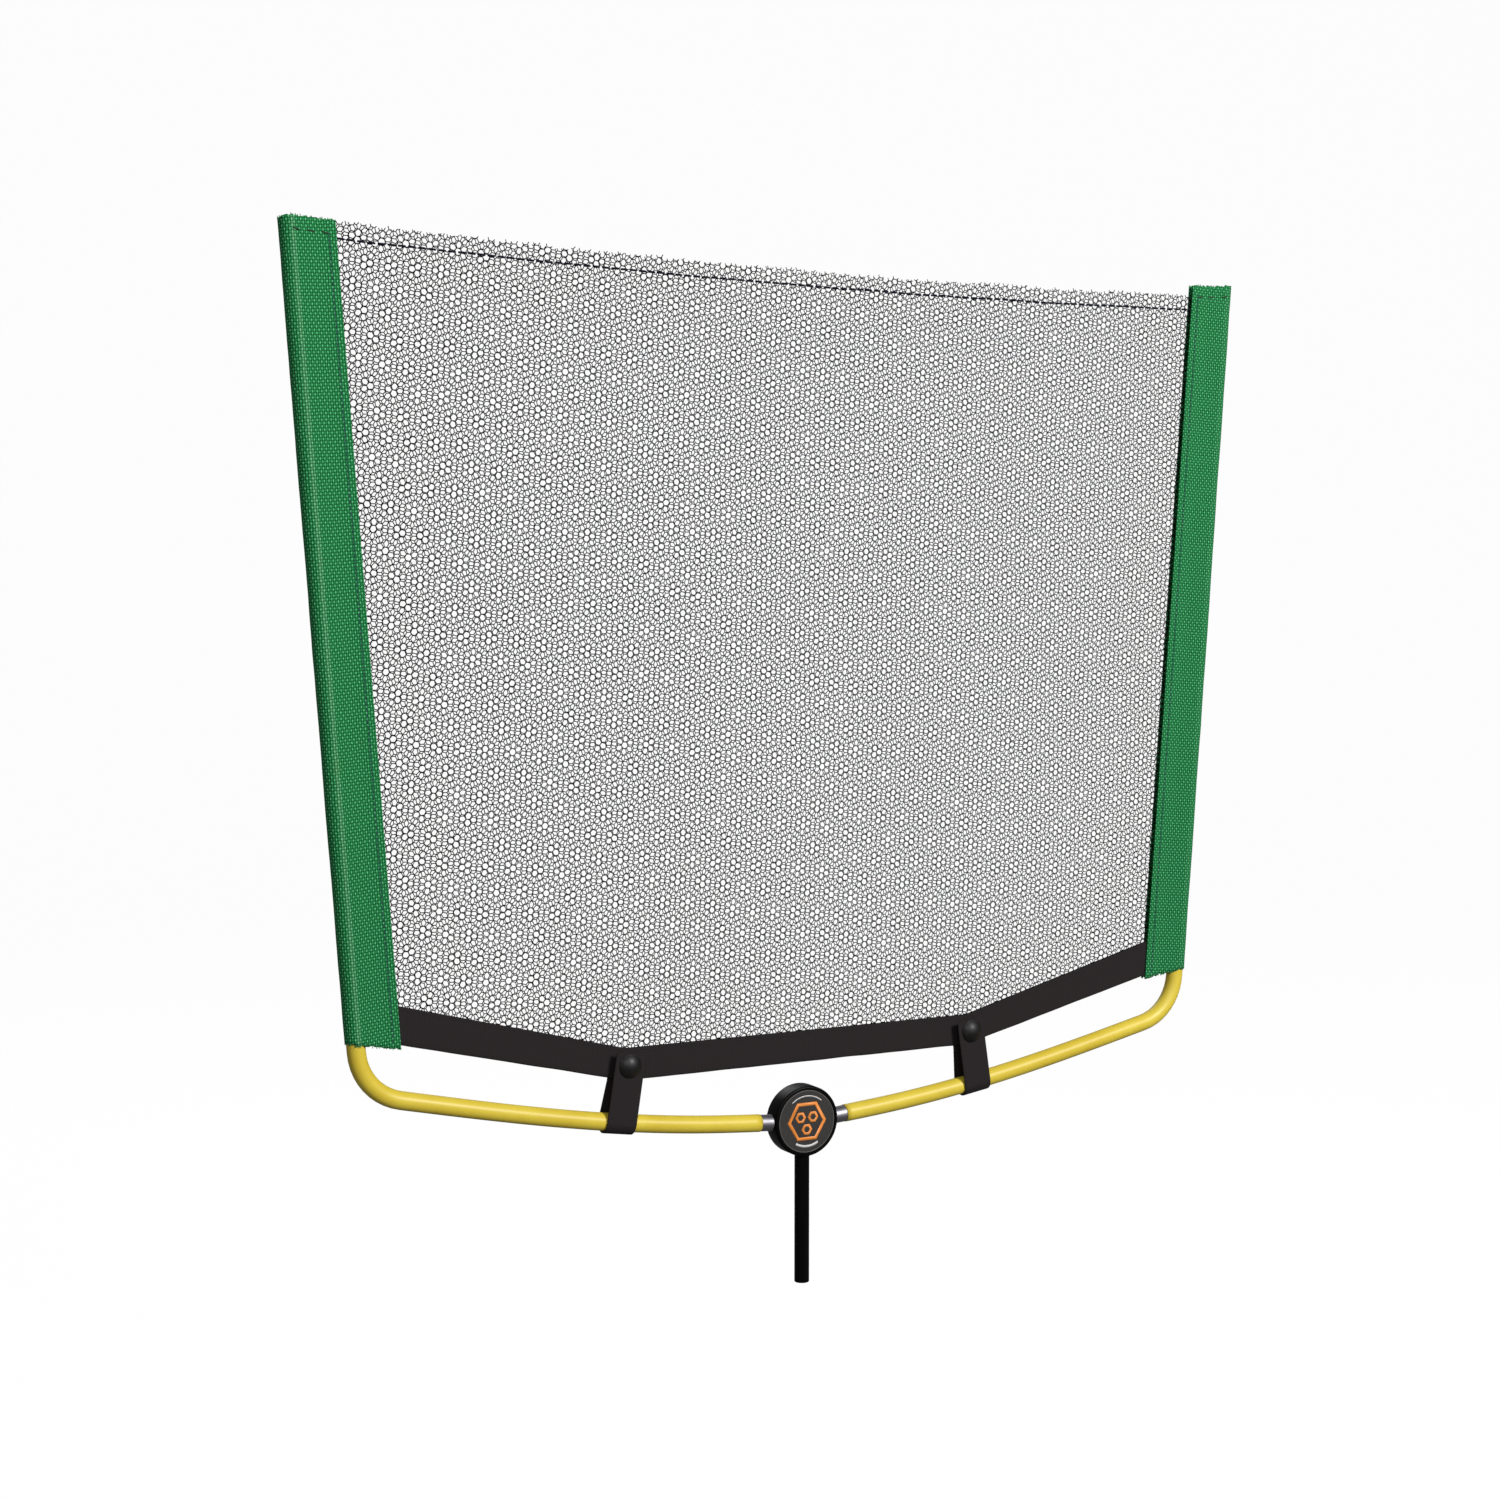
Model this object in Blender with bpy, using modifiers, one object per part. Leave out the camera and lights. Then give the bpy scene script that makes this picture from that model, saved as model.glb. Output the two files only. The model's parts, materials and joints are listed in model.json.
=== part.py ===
"""Open-ended light-control net on a springy U-frame, with a round hub and a mounting pin.

A spring-bowed arm leaves each side of a round hub, turns up at the corner and carries an upright.
A shock cord runs through the tubes from tip to tip. Two layers of net hang between two fabric
sleeves on the uprights, with a hem along the bottom edge and two snap tabs round the arms.

Metres, +Z up. X runs across the net and the front faces -Y. The origin is the centre of the pin's foot.
"""
import math

import bmesh
import bpy
from mathutils import Matrix, Vector

CLEARANCE = 0.0003  # gap left between pieces that touch

# Mounting pin and hub
PIN_DIAMETER = 0.0095
PIN_REACH = 0.0824  # pin showing below the hub
PIN_EMBED = 0.0125  # pin held inside the hub
PIN_EDGE = 0.0006
HUB_DIAMETER = 0.0452
HUB_WALL = 0.0007  # between the arm bores and the badge recess
HUB_EDGE = 0.0010
BADGE_DIAMETER = 0.0402
BADGE_THICKNESS = 0.0006
BADGE_RECESS = 0.0012
CROSS_PIN_DIAMETER = 0.0025
CROSS_PIN_HEIGHT = 0.0065  # above the hub's lowest point

# Frame centreline, from the middle outwards
ARM_DROP = 0.0015  # arm axis below the hub's centre, at the middle
ARM_ROOT_SLOPE = 0.0779
ARM_END_SLOPE = 0.2184
ARM_STRAIGHT = 0.050
ARM_LENGTH = 0.273
CORNER_RADIUS = 0.034
UPRIGHT_LEAN = 0.072
UPRIGHT_REACH = 0.460  # from the corner's end to the end of the upright tube
STEP = 0.0005  # walking step along the bowed arm

# Tubes, ferrules, tips and cord
TUBE_DIAMETER = 0.0111
TUBE_WALL = 0.0007
COLLAR_STEP = 0.0003  # ferrule collar below the tube's surface
FERRULE_BORE = 0.0060
SHANK_START = 0.0040  # where the ferrule begins inside the hub
TUBE_START = 0.0313  # where the arm tube begins
JOINT_HEIGHT = 0.0270  # arm tube to upright joint, above the corner's end
JOINT_INSERT = 0.0210  # ferrule held in each tube at that joint
TIP_HEIGHT = 0.0060
TIP_INSERT = 0.0150
CORD_DIAMETER = 0.0025
KNOT_DIAMETER = 0.0050
KNOT_RECESS = 0.0042

# Fabric
SLEEVE_WALL = 0.0005
SLEEVE_WIDTH = 0.0266  # pole centre to the flap's inner edge
SLEEVE_TAPER_END = 0.0170
SLEEVE_START = 0.0050
SLEEVE_BOTTOM_SLANT = -0.2545
SLEEVE_TOP_SLANT = -0.109
SLEEVE_OVERHANG = 0.0120  # sleeve above the tip
NET_THICKNESS = 0.0004
NET_LAYER_OFFSET = 0.00035  # each layer's middle from the net's middle plane
FABRIC_EDGE_INSET = 0.0100  # pole centre to the net's and hem's ends
NET_TOP_DROP = 0.0030  # net below the sleeve's top, at the flap
NET_TOP_SAG = 0.0050
NET_TUCK = 0.0120  # net inside the hem
HEM_THICKNESS = 0.0025
HEM_WALL = 0.0004
HEM_FOLD = 0.0010
HEM_WIDTH = 0.0197
HEM_END_WIDTH = 0.0223
HEM_END_RISE = 0.0019  # hem's bottom above the sleeve's bottom, at the flap

# Snap tabs
TAB_REACH = 0.1297  # middle to a tab's centre, along X
TAB_WIDTH = 0.0200
TAB_THICKNESS = 0.0012
TAB_TOP = 0.0435  # above the arm's axis
TAB_JOIN = 0.0250  # where the two straps part, above the arm's axis
SNAP_HEIGHT = 0.0360
HINGE_HEIGHT = -0.0010
HINGE_GAP = 0.0005
CAP_DIAMETER = 0.0146
CAP_DOME = 0.0034
SNAP_FLANGE = 0.0005
STUD_FLANGE_DIAMETER = 0.0110
STUD_DIAMETER = 0.0054
STUD_HEIGHT = 0.0027
SOCKET_DIAMETER = 0.0114
SOCKET_BORE = 0.0062
RIVET_DIAMETER = 0.0030
RIVET_FLANGE_DIAMETER = 0.0090

ROUND_STEPS = 24

HUB_RADIUS = HUB_DIAMETER / 2
HUB_Z = PIN_REACH + HUB_RADIUS
ARM_Z = HUB_Z - ARM_DROP
TUBE_RADIUS = TUBE_DIAMETER / 2
TUBE_BORE_RADIUS = TUBE_RADIUS - TUBE_WALL
INSERT_RADIUS = TUBE_BORE_RADIUS - CLEARANCE  # ferrules, in the tubes and in the hub
HUB_THICKNESS = 2 * (INSERT_RADIUS + CLEARANCE + HUB_WALL + BADGE_RECESS)
UPRIGHT_SLOPE = math.pi / 2 - UPRIGHT_LEAN
CORNER_LENGTH = CORNER_RADIUS * (UPRIGHT_SLOPE - ARM_END_SLOPE)
CORNER_END = ARM_LENGTH + CORNER_LENGTH
SIDES = {"right": 1, "left": -1}


# ---- The frame's centreline, for the right side ----

def arm_slope(distance):
    """Slope of the arm: straight at the root, then bowed up by the tension of the net."""
    share = max(0.0, distance - ARM_STRAIGHT) / (ARM_LENGTH - ARM_STRAIGHT)
    return ARM_ROOT_SLOPE + (ARM_END_SLOPE - ARM_ROOT_SLOPE) * math.sin(math.pi / 2 * share)


def arm_point(distance):
    """Point and slope at a distance along the bowed arm."""
    steps = max(1, math.ceil(distance / STEP))
    step = distance / steps
    point = Vector((0, 0, ARM_Z))
    for i in range(steps):
        slope = arm_slope((i + 0.5) * step)
        point += step * Vector((math.cos(slope), 0, math.sin(slope)))
    return point, arm_slope(distance)


ARM_END, _ = arm_point(ARM_LENGTH)
CORNER_CENTRE = ARM_END + CORNER_RADIUS * Vector((-math.sin(ARM_END_SLOPE), 0, math.cos(ARM_END_SLOPE)))


def frame_point(distance):
    """Point and slope at a distance along the whole centreline: arm, corner, then upright."""
    if distance <= ARM_LENGTH:
        return arm_point(distance)
    turn = min(distance - ARM_LENGTH, CORNER_LENGTH) / CORNER_RADIUS
    slope = ARM_END_SLOPE + turn
    point = CORNER_CENTRE + CORNER_RADIUS * Vector((math.sin(slope), 0, -math.cos(slope)))
    rest = max(0.0, distance - CORNER_END)
    return point + rest * Vector((math.cos(slope), 0, math.sin(slope))), slope


def upright_point(along, inward=0.0):
    """Point beside the right upright: along it from the corner's end, and inward from its axis."""
    base, slope = frame_point(CORNER_END)
    up = Vector((math.cos(slope), 0, math.sin(slope)))
    across = Vector((-math.sin(slope), 0, math.cos(slope)))
    return base + along * up + inward * across


def tab_reach_distance():
    """Distance along the arm where it passes the tab's centre."""
    low = 0.0
    high = ARM_LENGTH
    for _ in range(40):
        middle = (low + high) / 2
        if arm_point(middle)[0].x < TAB_REACH:
            low = middle
        else:
            high = middle
    return low


def mirrored(point, side):
    return Vector((point.x * side, point.y, point.z))


# ---- Scene, materials and the ways of making a piece ----

def clear_scene():
    for thing in list(bpy.data.objects):
        bpy.data.objects.remove(thing)
    for group in list(bpy.data.collections):
        bpy.data.collections.remove(group)


def collection(name):
    group = bpy.data.collections.new(name)
    bpy.context.scene.collection.children.link(group)
    return group


def finish_material(name, colour, roughness, metallic=0.0):
    material = bpy.data.materials.new(name)
    material.use_nodes = True
    shader = material.node_tree.nodes["Principled BSDF"]
    shader.inputs["Base Color"].default_value = (*colour, 1.0)
    shader.inputs["Roughness"].default_value = roughness
    shader.inputs["Metallic"].default_value = metallic
    material.diffuse_color = (*colour, 1.0)
    return material


def place(thing, group, material=None, matrix=None):
    group.objects.link(thing)
    if matrix is not None:
        thing.matrix_world = matrix
    if material is not None:
        thing.data.materials.append(material)
    return thing


def smooth(mesh):
    mesh.shade_smooth()
    mesh.set_sharp_from_angle(angle=math.radians(35))


def aimed(origin, direction):
    """A frame at origin with its Z axis along direction."""
    return Matrix.Translation(origin) @ direction.to_track_quat("Z", "Y").to_matrix().to_4x4()


def turned(name, profile, group, material, matrix, closed=False):
    """A turned piece: (radius, height) points that run down its outer side, spun about local Z."""
    mesh = bpy.data.meshes.new(name)
    count = len(profile)
    edges = [(i, i + 1) for i in range(count - 1)]
    if closed:
        edges.append((count - 1, 0))
    mesh.from_pydata([(radius, 0, height) for radius, height in profile], edges, [])
    piece = place(bpy.data.objects.new(name, mesh), group, material, matrix)
    screw = piece.modifiers.new("spin", "SCREW")
    screw.steps = ROUND_STEPS
    screw.render_steps = ROUND_STEPS
    screw.use_merge_vertices = True
    screw.merge_threshold = 0.00001
    screw.use_smooth_shade = True
    return piece


def keep_corners_crisp(piece):
    """Shade round sides smooth without rounding the look of the corners."""
    weighted = piece.modifiers.new("corners", "WEIGHTED_NORMAL")
    weighted.keep_sharp = True


def ring_profile(outer, inner, low, high):
    """Closed profile of a plain tube."""
    return [(outer, high), (outer, low), (inner, low), (inner, high)]


def mesh_from_curve(curve_object, group, material=None):
    """The curve's shape as a welded mesh object with the same name and place."""
    bpy.context.view_layer.update()
    name = curve_object.name
    matrix = curve_object.matrix_world.copy()
    evaluated = curve_object.evaluated_get(bpy.context.evaluated_depsgraph_get())
    mesh = bpy.data.meshes.new_from_object(evaluated)
    mesh.materials.clear()
    bpy.data.objects.remove(curve_object)
    shape = bmesh.new()
    shape.from_mesh(mesh)
    bmesh.ops.remove_doubles(shape, verts=shape.verts, dist=0.00001)
    bmesh.ops.recalc_face_normals(shape, faces=shape.faces)
    shape.to_mesh(mesh)
    shape.free()
    mesh.name = name
    return place(bpy.data.objects.new(name, mesh), group, material, matrix)


def bevelled_path(name, points, radius, group, radii=None, caps=True, resolution=8):
    """A round-section curve through the points."""
    curve = bpy.data.curves.new(name, "CURVE")
    curve.dimensions = "3D"
    curve.bevel_depth = radius
    curve.bevel_resolution = resolution
    curve.use_fill_caps = caps
    spline = curve.splines.new("POLY")
    spline.points.add(len(points) - 1)
    for i, point in enumerate(points):
        spline.points[i].co = (*point, 1)
        spline.points[i].radius = radii[i] if radii else 1.0
    return place(bpy.data.objects.new(name, curve), group)


def tube(name, points, group, material):
    """A hollow tube along the points."""
    skin = mesh_from_curve(bevelled_path(name, points, TUBE_RADIUS, group, caps=False), group, material)
    wall = skin.modifiers.new("wall", "SOLIDIFY")
    wall.thickness = TUBE_WALL
    wall.offset = -1
    smooth(skin.data)
    return skin


def panel(name, outline, thickness, group, material=None, y=0.0):
    """A flat panel standing in the XZ plane, from its outline of (x, z) points."""
    curve = bpy.data.curves.new(name, "CURVE")
    curve.dimensions = "2D"
    curve.fill_mode = "BOTH"
    curve.extrude = thickness / 2
    spline = curve.splines.new("POLY")
    spline.points.add(len(outline) - 1)
    spline.use_cyclic_u = True
    for i, (x, z) in enumerate(outline):
        spline.points[i].co = (x, z, 0, 1)
    standing = Matrix.Translation((0, y, 0)) @ Matrix.Rotation(math.pi / 2, 4, "X")
    flat = place(bpy.data.objects.new(name, curve), group, matrix=standing)
    return mesh_from_curve(flat, group, material)


def strip(name, profile, width, thickness, group, material, matrix):
    """A webbing strap: its side profile of (y, z) points spread over its width, then given thickness."""
    mesh = bpy.data.meshes.new(name)
    points = []
    for y, z in profile:
        points += [(-width / 2, y, z), (width / 2, y, z)]
    faces = [(2 * i, 2 * i + 1, 2 * i + 3, 2 * i + 2) for i in range(len(profile) - 1)]
    mesh.from_pydata(points, [], faces)
    strap = place(bpy.data.objects.new(name, mesh), group, material, matrix)
    wall = strap.modifiers.new("webbing", "SOLIDIFY")
    wall.thickness = thickness
    wall.offset = 0
    wall.use_even_offset = True
    return strap


def rod_cutter(name, radius, length, matrix, group):
    """A round cutter, centred on the matrix and along its Z axis."""
    mesh = bpy.data.meshes.new(name)
    shape = bmesh.new()
    ends = dict(radius1=radius, radius2=radius)
    bmesh.ops.create_cone(shape, cap_ends=True, segments=ROUND_STEPS, depth=length, **ends)
    shape.to_mesh(mesh)
    shape.free()
    return as_cutter(place(bpy.data.objects.new(name, mesh), group, matrix=matrix))


def as_cutter(thing):
    thing.hide_render = True
    thing.display_type = "WIRE"
    return thing


def cut(piece, cutter):
    """Cut the cutter's shape out of a piece."""
    hole = piece.modifiers.new("cut_" + cutter.name, "BOOLEAN")
    hole.operation = "DIFFERENCE"
    hole.object = cutter
    return piece


# ---- Hub and pin ----

def forward_at(height, x=0.0):
    """A frame at the hub's middle plane whose Z axis faces forward."""
    return aimed(Vector((x, 0, height)), Vector((0, -1, 0)))


def hub_profile():
    half = HUB_THICKNESS / 2
    recess_radius = BADGE_DIAMETER / 2 + CLEARANCE
    floor = half - BADGE_RECESS
    return [
        (0, floor), (recess_radius, floor), (recess_radius, half - HUB_EDGE / 3),
        (recess_radius + HUB_EDGE / 3, half), (HUB_RADIUS - HUB_EDGE, half),
        (HUB_RADIUS - HUB_EDGE / 3, half - HUB_EDGE / 3), (HUB_RADIUS, half - HUB_EDGE),
        (HUB_RADIUS, HUB_EDGE - half), (HUB_RADIUS - HUB_EDGE / 3, HUB_EDGE / 3 - half),
        (HUB_RADIUS - HUB_EDGE, -half), (0, -half),
    ]


def make_hub(parts, cutters, look):
    hub = turned("hub_body", hub_profile(), parts, look["black_metal"], forward_at(HUB_Z))
    hub.modifiers["spin"].steps = 2 * ROUND_STEPS
    hub.modifiers["spin"].render_steps = 2 * ROUND_STEPS
    bore = INSERT_RADIUS + CLEARANCE
    for label, side in SIDES.items():
        direction = Vector((side * math.cos(ARM_ROOT_SLOPE), 0, math.sin(ARM_ROOT_SLOPE)))
        start = Vector((0, 0, ARM_Z))
        length = 2 * HUB_RADIUS
        middle = aimed(start + direction * (length / 2 - bore * math.sin(ARM_ROOT_SLOPE)), direction)
        cut(hub, rod_cutter(label + "_arm_bore", bore, length, middle, cutters))
    pin_bore_height = PIN_EMBED + CLEARANCE
    pin_bore = rod_cutter(
        "pin_bore", PIN_DIAMETER / 2 + CLEARANCE, 2 * pin_bore_height,
        Matrix.Translation((0, 0, PIN_REACH)), cutters,
    )
    cut(hub, pin_bore)
    cross_bore = rod_cutter(
        "cross_bore", CROSS_PIN_DIAMETER / 2 + CLEARANCE, 2 * HUB_THICKNESS,
        forward_at(PIN_REACH + CROSS_PIN_HEIGHT), cutters,
    )
    cut(hub, cross_bore)
    return cross_bore


def make_badge(parts, look):
    back = HUB_THICKNESS / 2 - BADGE_RECESS + CLEARANCE
    front = back + BADGE_THICKNESS
    radius = BADGE_DIAMETER / 2
    disc = [(0, front), (radius, front), (radius, back), (0, back)]
    turned("hub_badge", disc, parts, look["badge"], forward_at(HUB_Z))


def make_pin(parts, cross_bore, look):
    radius = PIN_DIAMETER / 2
    top = PIN_REACH + PIN_EMBED
    profile = [
        (0, top), (radius - PIN_EDGE, top), (radius, top - PIN_EDGE),
        (radius, PIN_EDGE), (radius - PIN_EDGE, 0), (0, 0),
    ]
    pin = turned("mounting_pin", profile, parts, look["black_metal"], Matrix.Identity(4))
    cut(pin, cross_bore)
    half = HUB_THICKNESS / 2
    reach = [(0, half - BADGE_RECESS), (CROSS_PIN_DIAMETER / 2, half - BADGE_RECESS)]
    reach += [(CROSS_PIN_DIAMETER / 2, CLEARANCE - half), (0, CLEARANCE - half)]
    turned("cross_pin", reach, parts, look["bare_metal"], forward_at(PIN_REACH + CROSS_PIN_HEIGHT))


# ---- Tubes, ferrules, tips and cord ----

def even_distances(start, end, count):
    return [start + (end - start) * i / count for i in range(count + 1)]


def make_arm_tube(label, side, parts, look):
    distances = even_distances(TUBE_START, ARM_LENGTH, 12)
    distances += even_distances(ARM_LENGTH, CORNER_END, 10)[1:]
    distances.append(CORNER_END + JOINT_HEIGHT)
    points = [mirrored(frame_point(d)[0], side) for d in distances]
    tube(label + "_arm_tube", points, parts, look["yellow"])


def make_upright(label, side, parts, look):
    start = mirrored(upright_point(JOINT_HEIGHT + CLEARANCE), side)
    end = mirrored(upright_point(UPRIGHT_REACH), side)
    length = (end - start).length
    profile = ring_profile(TUBE_RADIUS, TUBE_BORE_RADIUS, 0, length)
    turned(label + "_upright_tube", profile, parts, look["yellow"], aimed(start, end - start), closed=True)


def make_arm_ferrule(label, side, parts, look):
    direction = Vector((side * math.cos(ARM_ROOT_SLOPE), 0, math.sin(ARM_ROOT_SLOPE)))
    shank = INSERT_RADIUS
    collar = TUBE_RADIUS - COLLAR_STEP
    bore = FERRULE_BORE / 2
    collar_start = HUB_RADIUS + CLEARANCE
    collar_end = TUBE_START - CLEARANCE
    profile = [
        (shank, ARM_STRAIGHT), (shank, collar_end), (collar, collar_end), (collar, collar_start),
        (shank, collar_start), (shank, SHANK_START), (bore, SHANK_START), (bore, ARM_STRAIGHT),
    ]
    origin = Vector((0, 0, ARM_Z))
    frame = aimed(origin, direction)
    turned(label + "_arm_ferrule", profile, parts, look["bare_metal"], frame, closed=True)


def make_corner_ferrule(label, side, parts, look):
    middle = mirrored(upright_point(JOINT_HEIGHT), side)
    above = mirrored(upright_point(JOINT_HEIGHT + JOINT_INSERT), side)
    profile = ring_profile(INSERT_RADIUS, FERRULE_BORE / 2, -JOINT_INSERT, JOINT_INSERT)
    matrix = aimed(middle, above - middle)
    turned(label + "_joint_ferrule", profile, parts, look["bare_metal"], matrix, closed=True)


def make_tip(label, side, parts, look):
    """End cap with a recess that keeps the cord's knot."""
    seat = mirrored(upright_point(UPRIGHT_REACH + CLEARANCE), side)
    above = mirrored(upright_point(UPRIGHT_REACH + TIP_HEIGHT), side)
    cord_bore = CORD_DIAMETER / 2 + CLEARANCE
    knot_bore = KNOT_DIAMETER / 2 + CLEARANCE
    edge = TUBE_WALL
    profile = [
        (knot_bore, TIP_HEIGHT), (TUBE_RADIUS - edge, TIP_HEIGHT), (TUBE_RADIUS, TIP_HEIGHT - edge),
        (TUBE_RADIUS, 0), (INSERT_RADIUS, 0), (INSERT_RADIUS, -TIP_INSERT), (cord_bore, -TIP_INSERT),
        (cord_bore, TIP_HEIGHT - KNOT_RECESS), (knot_bore, TIP_HEIGHT - KNOT_RECESS),
    ]
    frame = aimed(seat, above - seat)
    turned(label + "_upright_tip", profile, parts, look["black_plastic"], frame, closed=True)


def cord_half():
    """(distance along the centreline, width factor) from the middle to the knot on the right."""
    seat = CORNER_END + UPRIGHT_REACH + CLEARANCE + TIP_HEIGHT - KNOT_RECESS
    knot = KNOT_DIAMETER / CORD_DIAMETER
    run = [(d, 1.0) for d in even_distances(0.0, ARM_LENGTH, 12)]
    run += [(d, 1.0) for d in even_distances(ARM_LENGTH, CORNER_END, 10)[1:]]
    run += [(d, 1.0) for d in even_distances(CORNER_END, seat, 3)[1:]]
    height = KNOT_RECESS - 2 * CLEARANCE
    knot_start = seat + CLEARANCE
    for share, width in ((0, 0.7), (0.3, 1), (0.7, 1), (1, 0.7)):
        run.append((knot_start + height * share, knot * width))
    return run


def make_cord(parts, look):
    half = cord_half()
    points = [mirrored(frame_point(d)[0], -1) for d, _ in reversed(half)]
    points += [frame_point(d)[0] for d, _ in half[1:]]
    radii = [width for _, width in reversed(half)] + [width for _, width in half[1:]]
    cord = bevelled_path("shock_cord", points, CORD_DIAMETER / 2, parts, radii, resolution=2)
    cord.data.materials.append(look["cord"])


# ---- Sleeves, net and hem ----

def sleeve_bottom(inward):
    return SLEEVE_START + SLEEVE_BOTTOM_SLANT * inward


def sleeve_top(inward):
    return UPRIGHT_REACH + TIP_HEIGHT + SLEEVE_OVERHANG + SLEEVE_TOP_SLANT * inward


def sleeve_profile():
    """Closed (inward, y) outline of the sleeve's wall: round the pole, then two flat lips."""
    half_gap = HEM_THICKNESS / 2 + CLEARANCE
    open_angle = math.radians(58)
    inner = TUBE_RADIUS + CLEARANCE
    walls = []
    for radius, lip in ((inner + SLEEVE_WALL, half_gap + SLEEVE_WALL), (inner, half_gap)):
        wrap = 2 * math.pi - 2 * open_angle
        arc = [open_angle + wrap * i / ROUND_STEPS for i in range(ROUND_STEPS + 1)]
        wall = [(SLEEVE_WIDTH, lip), (SLEEVE_TAPER_END, lip)]
        wall += [(radius * math.cos(a), radius * math.sin(a)) for a in arc]
        wall += [(SLEEVE_TAPER_END, -lip), (SLEEVE_WIDTH, -lip)]
        walls.append(wall)
    return walls[0] + list(reversed(walls[1]))


def make_sleeve(label, side, parts, look):
    profile = sleeve_profile()
    ends = []
    for end in (sleeve_bottom, sleeve_top):
        ends.append([upright_point(end(a), a) + Vector((0, y, 0)) for a, y in profile])
    count = len(profile)
    points = [mirrored(p, side) for p in ends[0] + ends[1]]
    faces = [(i, (i + 1) % count, count + (i + 1) % count, count + i) for i in range(count)]
    faces += end_faces(count)
    mesh = bpy.data.meshes.new(label + "_sleeve")
    mesh.from_pydata(points, [], faces)
    shape = bmesh.new()
    shape.from_mesh(mesh)
    bmesh.ops.recalc_face_normals(shape, faces=shape.faces)
    shape.to_mesh(mesh)
    shape.free()
    smooth(mesh)
    place(bpy.data.objects.new(label + "_sleeve", mesh), parts, look["green"])


def end_faces(count):
    """Quads across the wall at both ends of a sleeve, between its outer and its inner outline."""
    faces = []
    for i in range(count // 2 - 1):
        quad = (i, i + 1, count - 2 - i, count - 1 - i)
        faces.append(quad)
        faces.append(tuple(count + v for v in quad))
    return faces


def tab_frame(side):
    """A frame on the arm's axis at the tab: X along the arm, Y back, Z square to the arm."""
    point, slope = arm_point(tab_reach_distance())
    return Matrix.Translation(mirrored(point, side)) @ Matrix.Rotation(-side * slope, 4, "Y")


def snap_point():
    return tab_frame(1) @ Vector((0, 0, SNAP_HEIGHT))


def hem_line(bottom, inward):
    """Point of the hem's bottom or top edge, on the straight run from above the snap to the sleeve."""
    snap = snap_point()
    offset = -HEM_WIDTH / 2 if bottom else HEM_WIDTH / 2
    kink = Vector((snap.x, 0, snap.z + offset))
    lip = upright_point(sleeve_bottom(SLEEVE_WIDTH), SLEEVE_WIDTH)
    lip.z += HEM_END_RISE + (0 if bottom else HEM_END_WIDTH)
    slope = (lip.z - kink.z) / (lip.x - kink.x)
    pole = upright_point(SLEEVE_START, inward)
    x = pole.x + (kink.z + slope * (pole.x - kink.x) - pole.z) * math.tan(UPRIGHT_LEAN)
    return kink, Vector((x, 0, kink.z + slope * (x - kink.x)))


def both_sides(points):
    """A symmetric outline from the points of its right half, listed anticlockwise from the middle."""
    return [(p.x, p.z) for p in points] + [(-p.x, p.z) for p in reversed(points)]


def raised(point, height):
    return Vector((point.x, point.y, point.z + height))


def make_hem(parts, cutters, look):
    low_kink, low_end = hem_line(True, FABRIC_EDGE_INSET)
    top_kink, top_end = hem_line(False, FABRIC_EDGE_INSET)
    outline = both_sides([low_kink, low_end, top_end, top_kink])
    hem = panel("bottom_hem", outline, HEM_THICKNESS, parts, look["black_webbing"])
    past = Vector((HEM_WIDTH, 0, HEM_WIDTH * (low_end.z - low_kink.z) / (low_end.x - low_kink.x)))
    pocket = [raised(low_kink, HEM_FOLD), raised(low_end + past, HEM_FOLD)]
    pocket += [raised(top_end + past, HEM_WIDTH), raised(top_kink, HEM_WIDTH)]
    space = panel("hem_pocket", both_sides(pocket), HEM_THICKNESS - 2 * HEM_WALL, cutters)
    return cut(hem, as_cutter(space))


def make_nets(parts, look):
    """Two net layers: straight sides in the sleeves, a slack top edge and a bottom edge in the hem."""
    kink, end = hem_line(False, FABRIC_EDGE_INSET)
    top = upright_point(sleeve_top(SLEEVE_WIDTH), SLEEVE_WIDTH)
    corner = upright_point(sleeve_top(FABRIC_EDGE_INSET), FABRIC_EDGE_INSET)
    outline = [raised(kink, -NET_TUCK), raised(end, -NET_TUCK)]
    for share in (1.0, 0.8, 0.6, 0.4, 0.2):
        x = corner.x * share
        outline.append(Vector((x, 0, top.z - NET_TOP_DROP - NET_TOP_SAG * (1 - (x / top.x) ** 2))))
    outline.append(Vector((0, 0, top.z - NET_TOP_DROP - NET_TOP_SAG)))
    shape = both_sides(outline)
    shape.remove(shape[len(outline)])
    front = panel("net_front", shape, NET_THICKNESS, parts, look["net"], -NET_LAYER_OFFSET)
    back = panel("net_back", shape, NET_THICKNESS, parts, look["net"], NET_LAYER_OFFSET)
    return [front, back]


# ---- Snap tabs ----

def tab_side_path():
    """(y, height) points of the fixed strap: down behind the hem, behind the tube and round under it."""
    sewn = HEM_THICKNESS / 2 + CLEARANCE + TAB_THICKNESS / 2
    wrap = TUBE_RADIUS + CLEARANCE + TAB_THICKNESS / 2
    tangent = math.acos(wrap / math.hypot(sewn, TAB_JOIN))
    first = math.atan2(TAB_JOIN, sewn) - tangent
    last = -math.pi - math.asin((HINGE_HEIGHT - HINGE_GAP / 2) / wrap)
    count = 14
    path = [(sewn, TAB_TOP), (sewn, TAB_JOIN)]
    for i in range(count + 1):
        angle = first + (last - first) * i / count
        path.append((wrap * math.cos(angle), wrap * math.sin(angle)))
    return path


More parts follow.
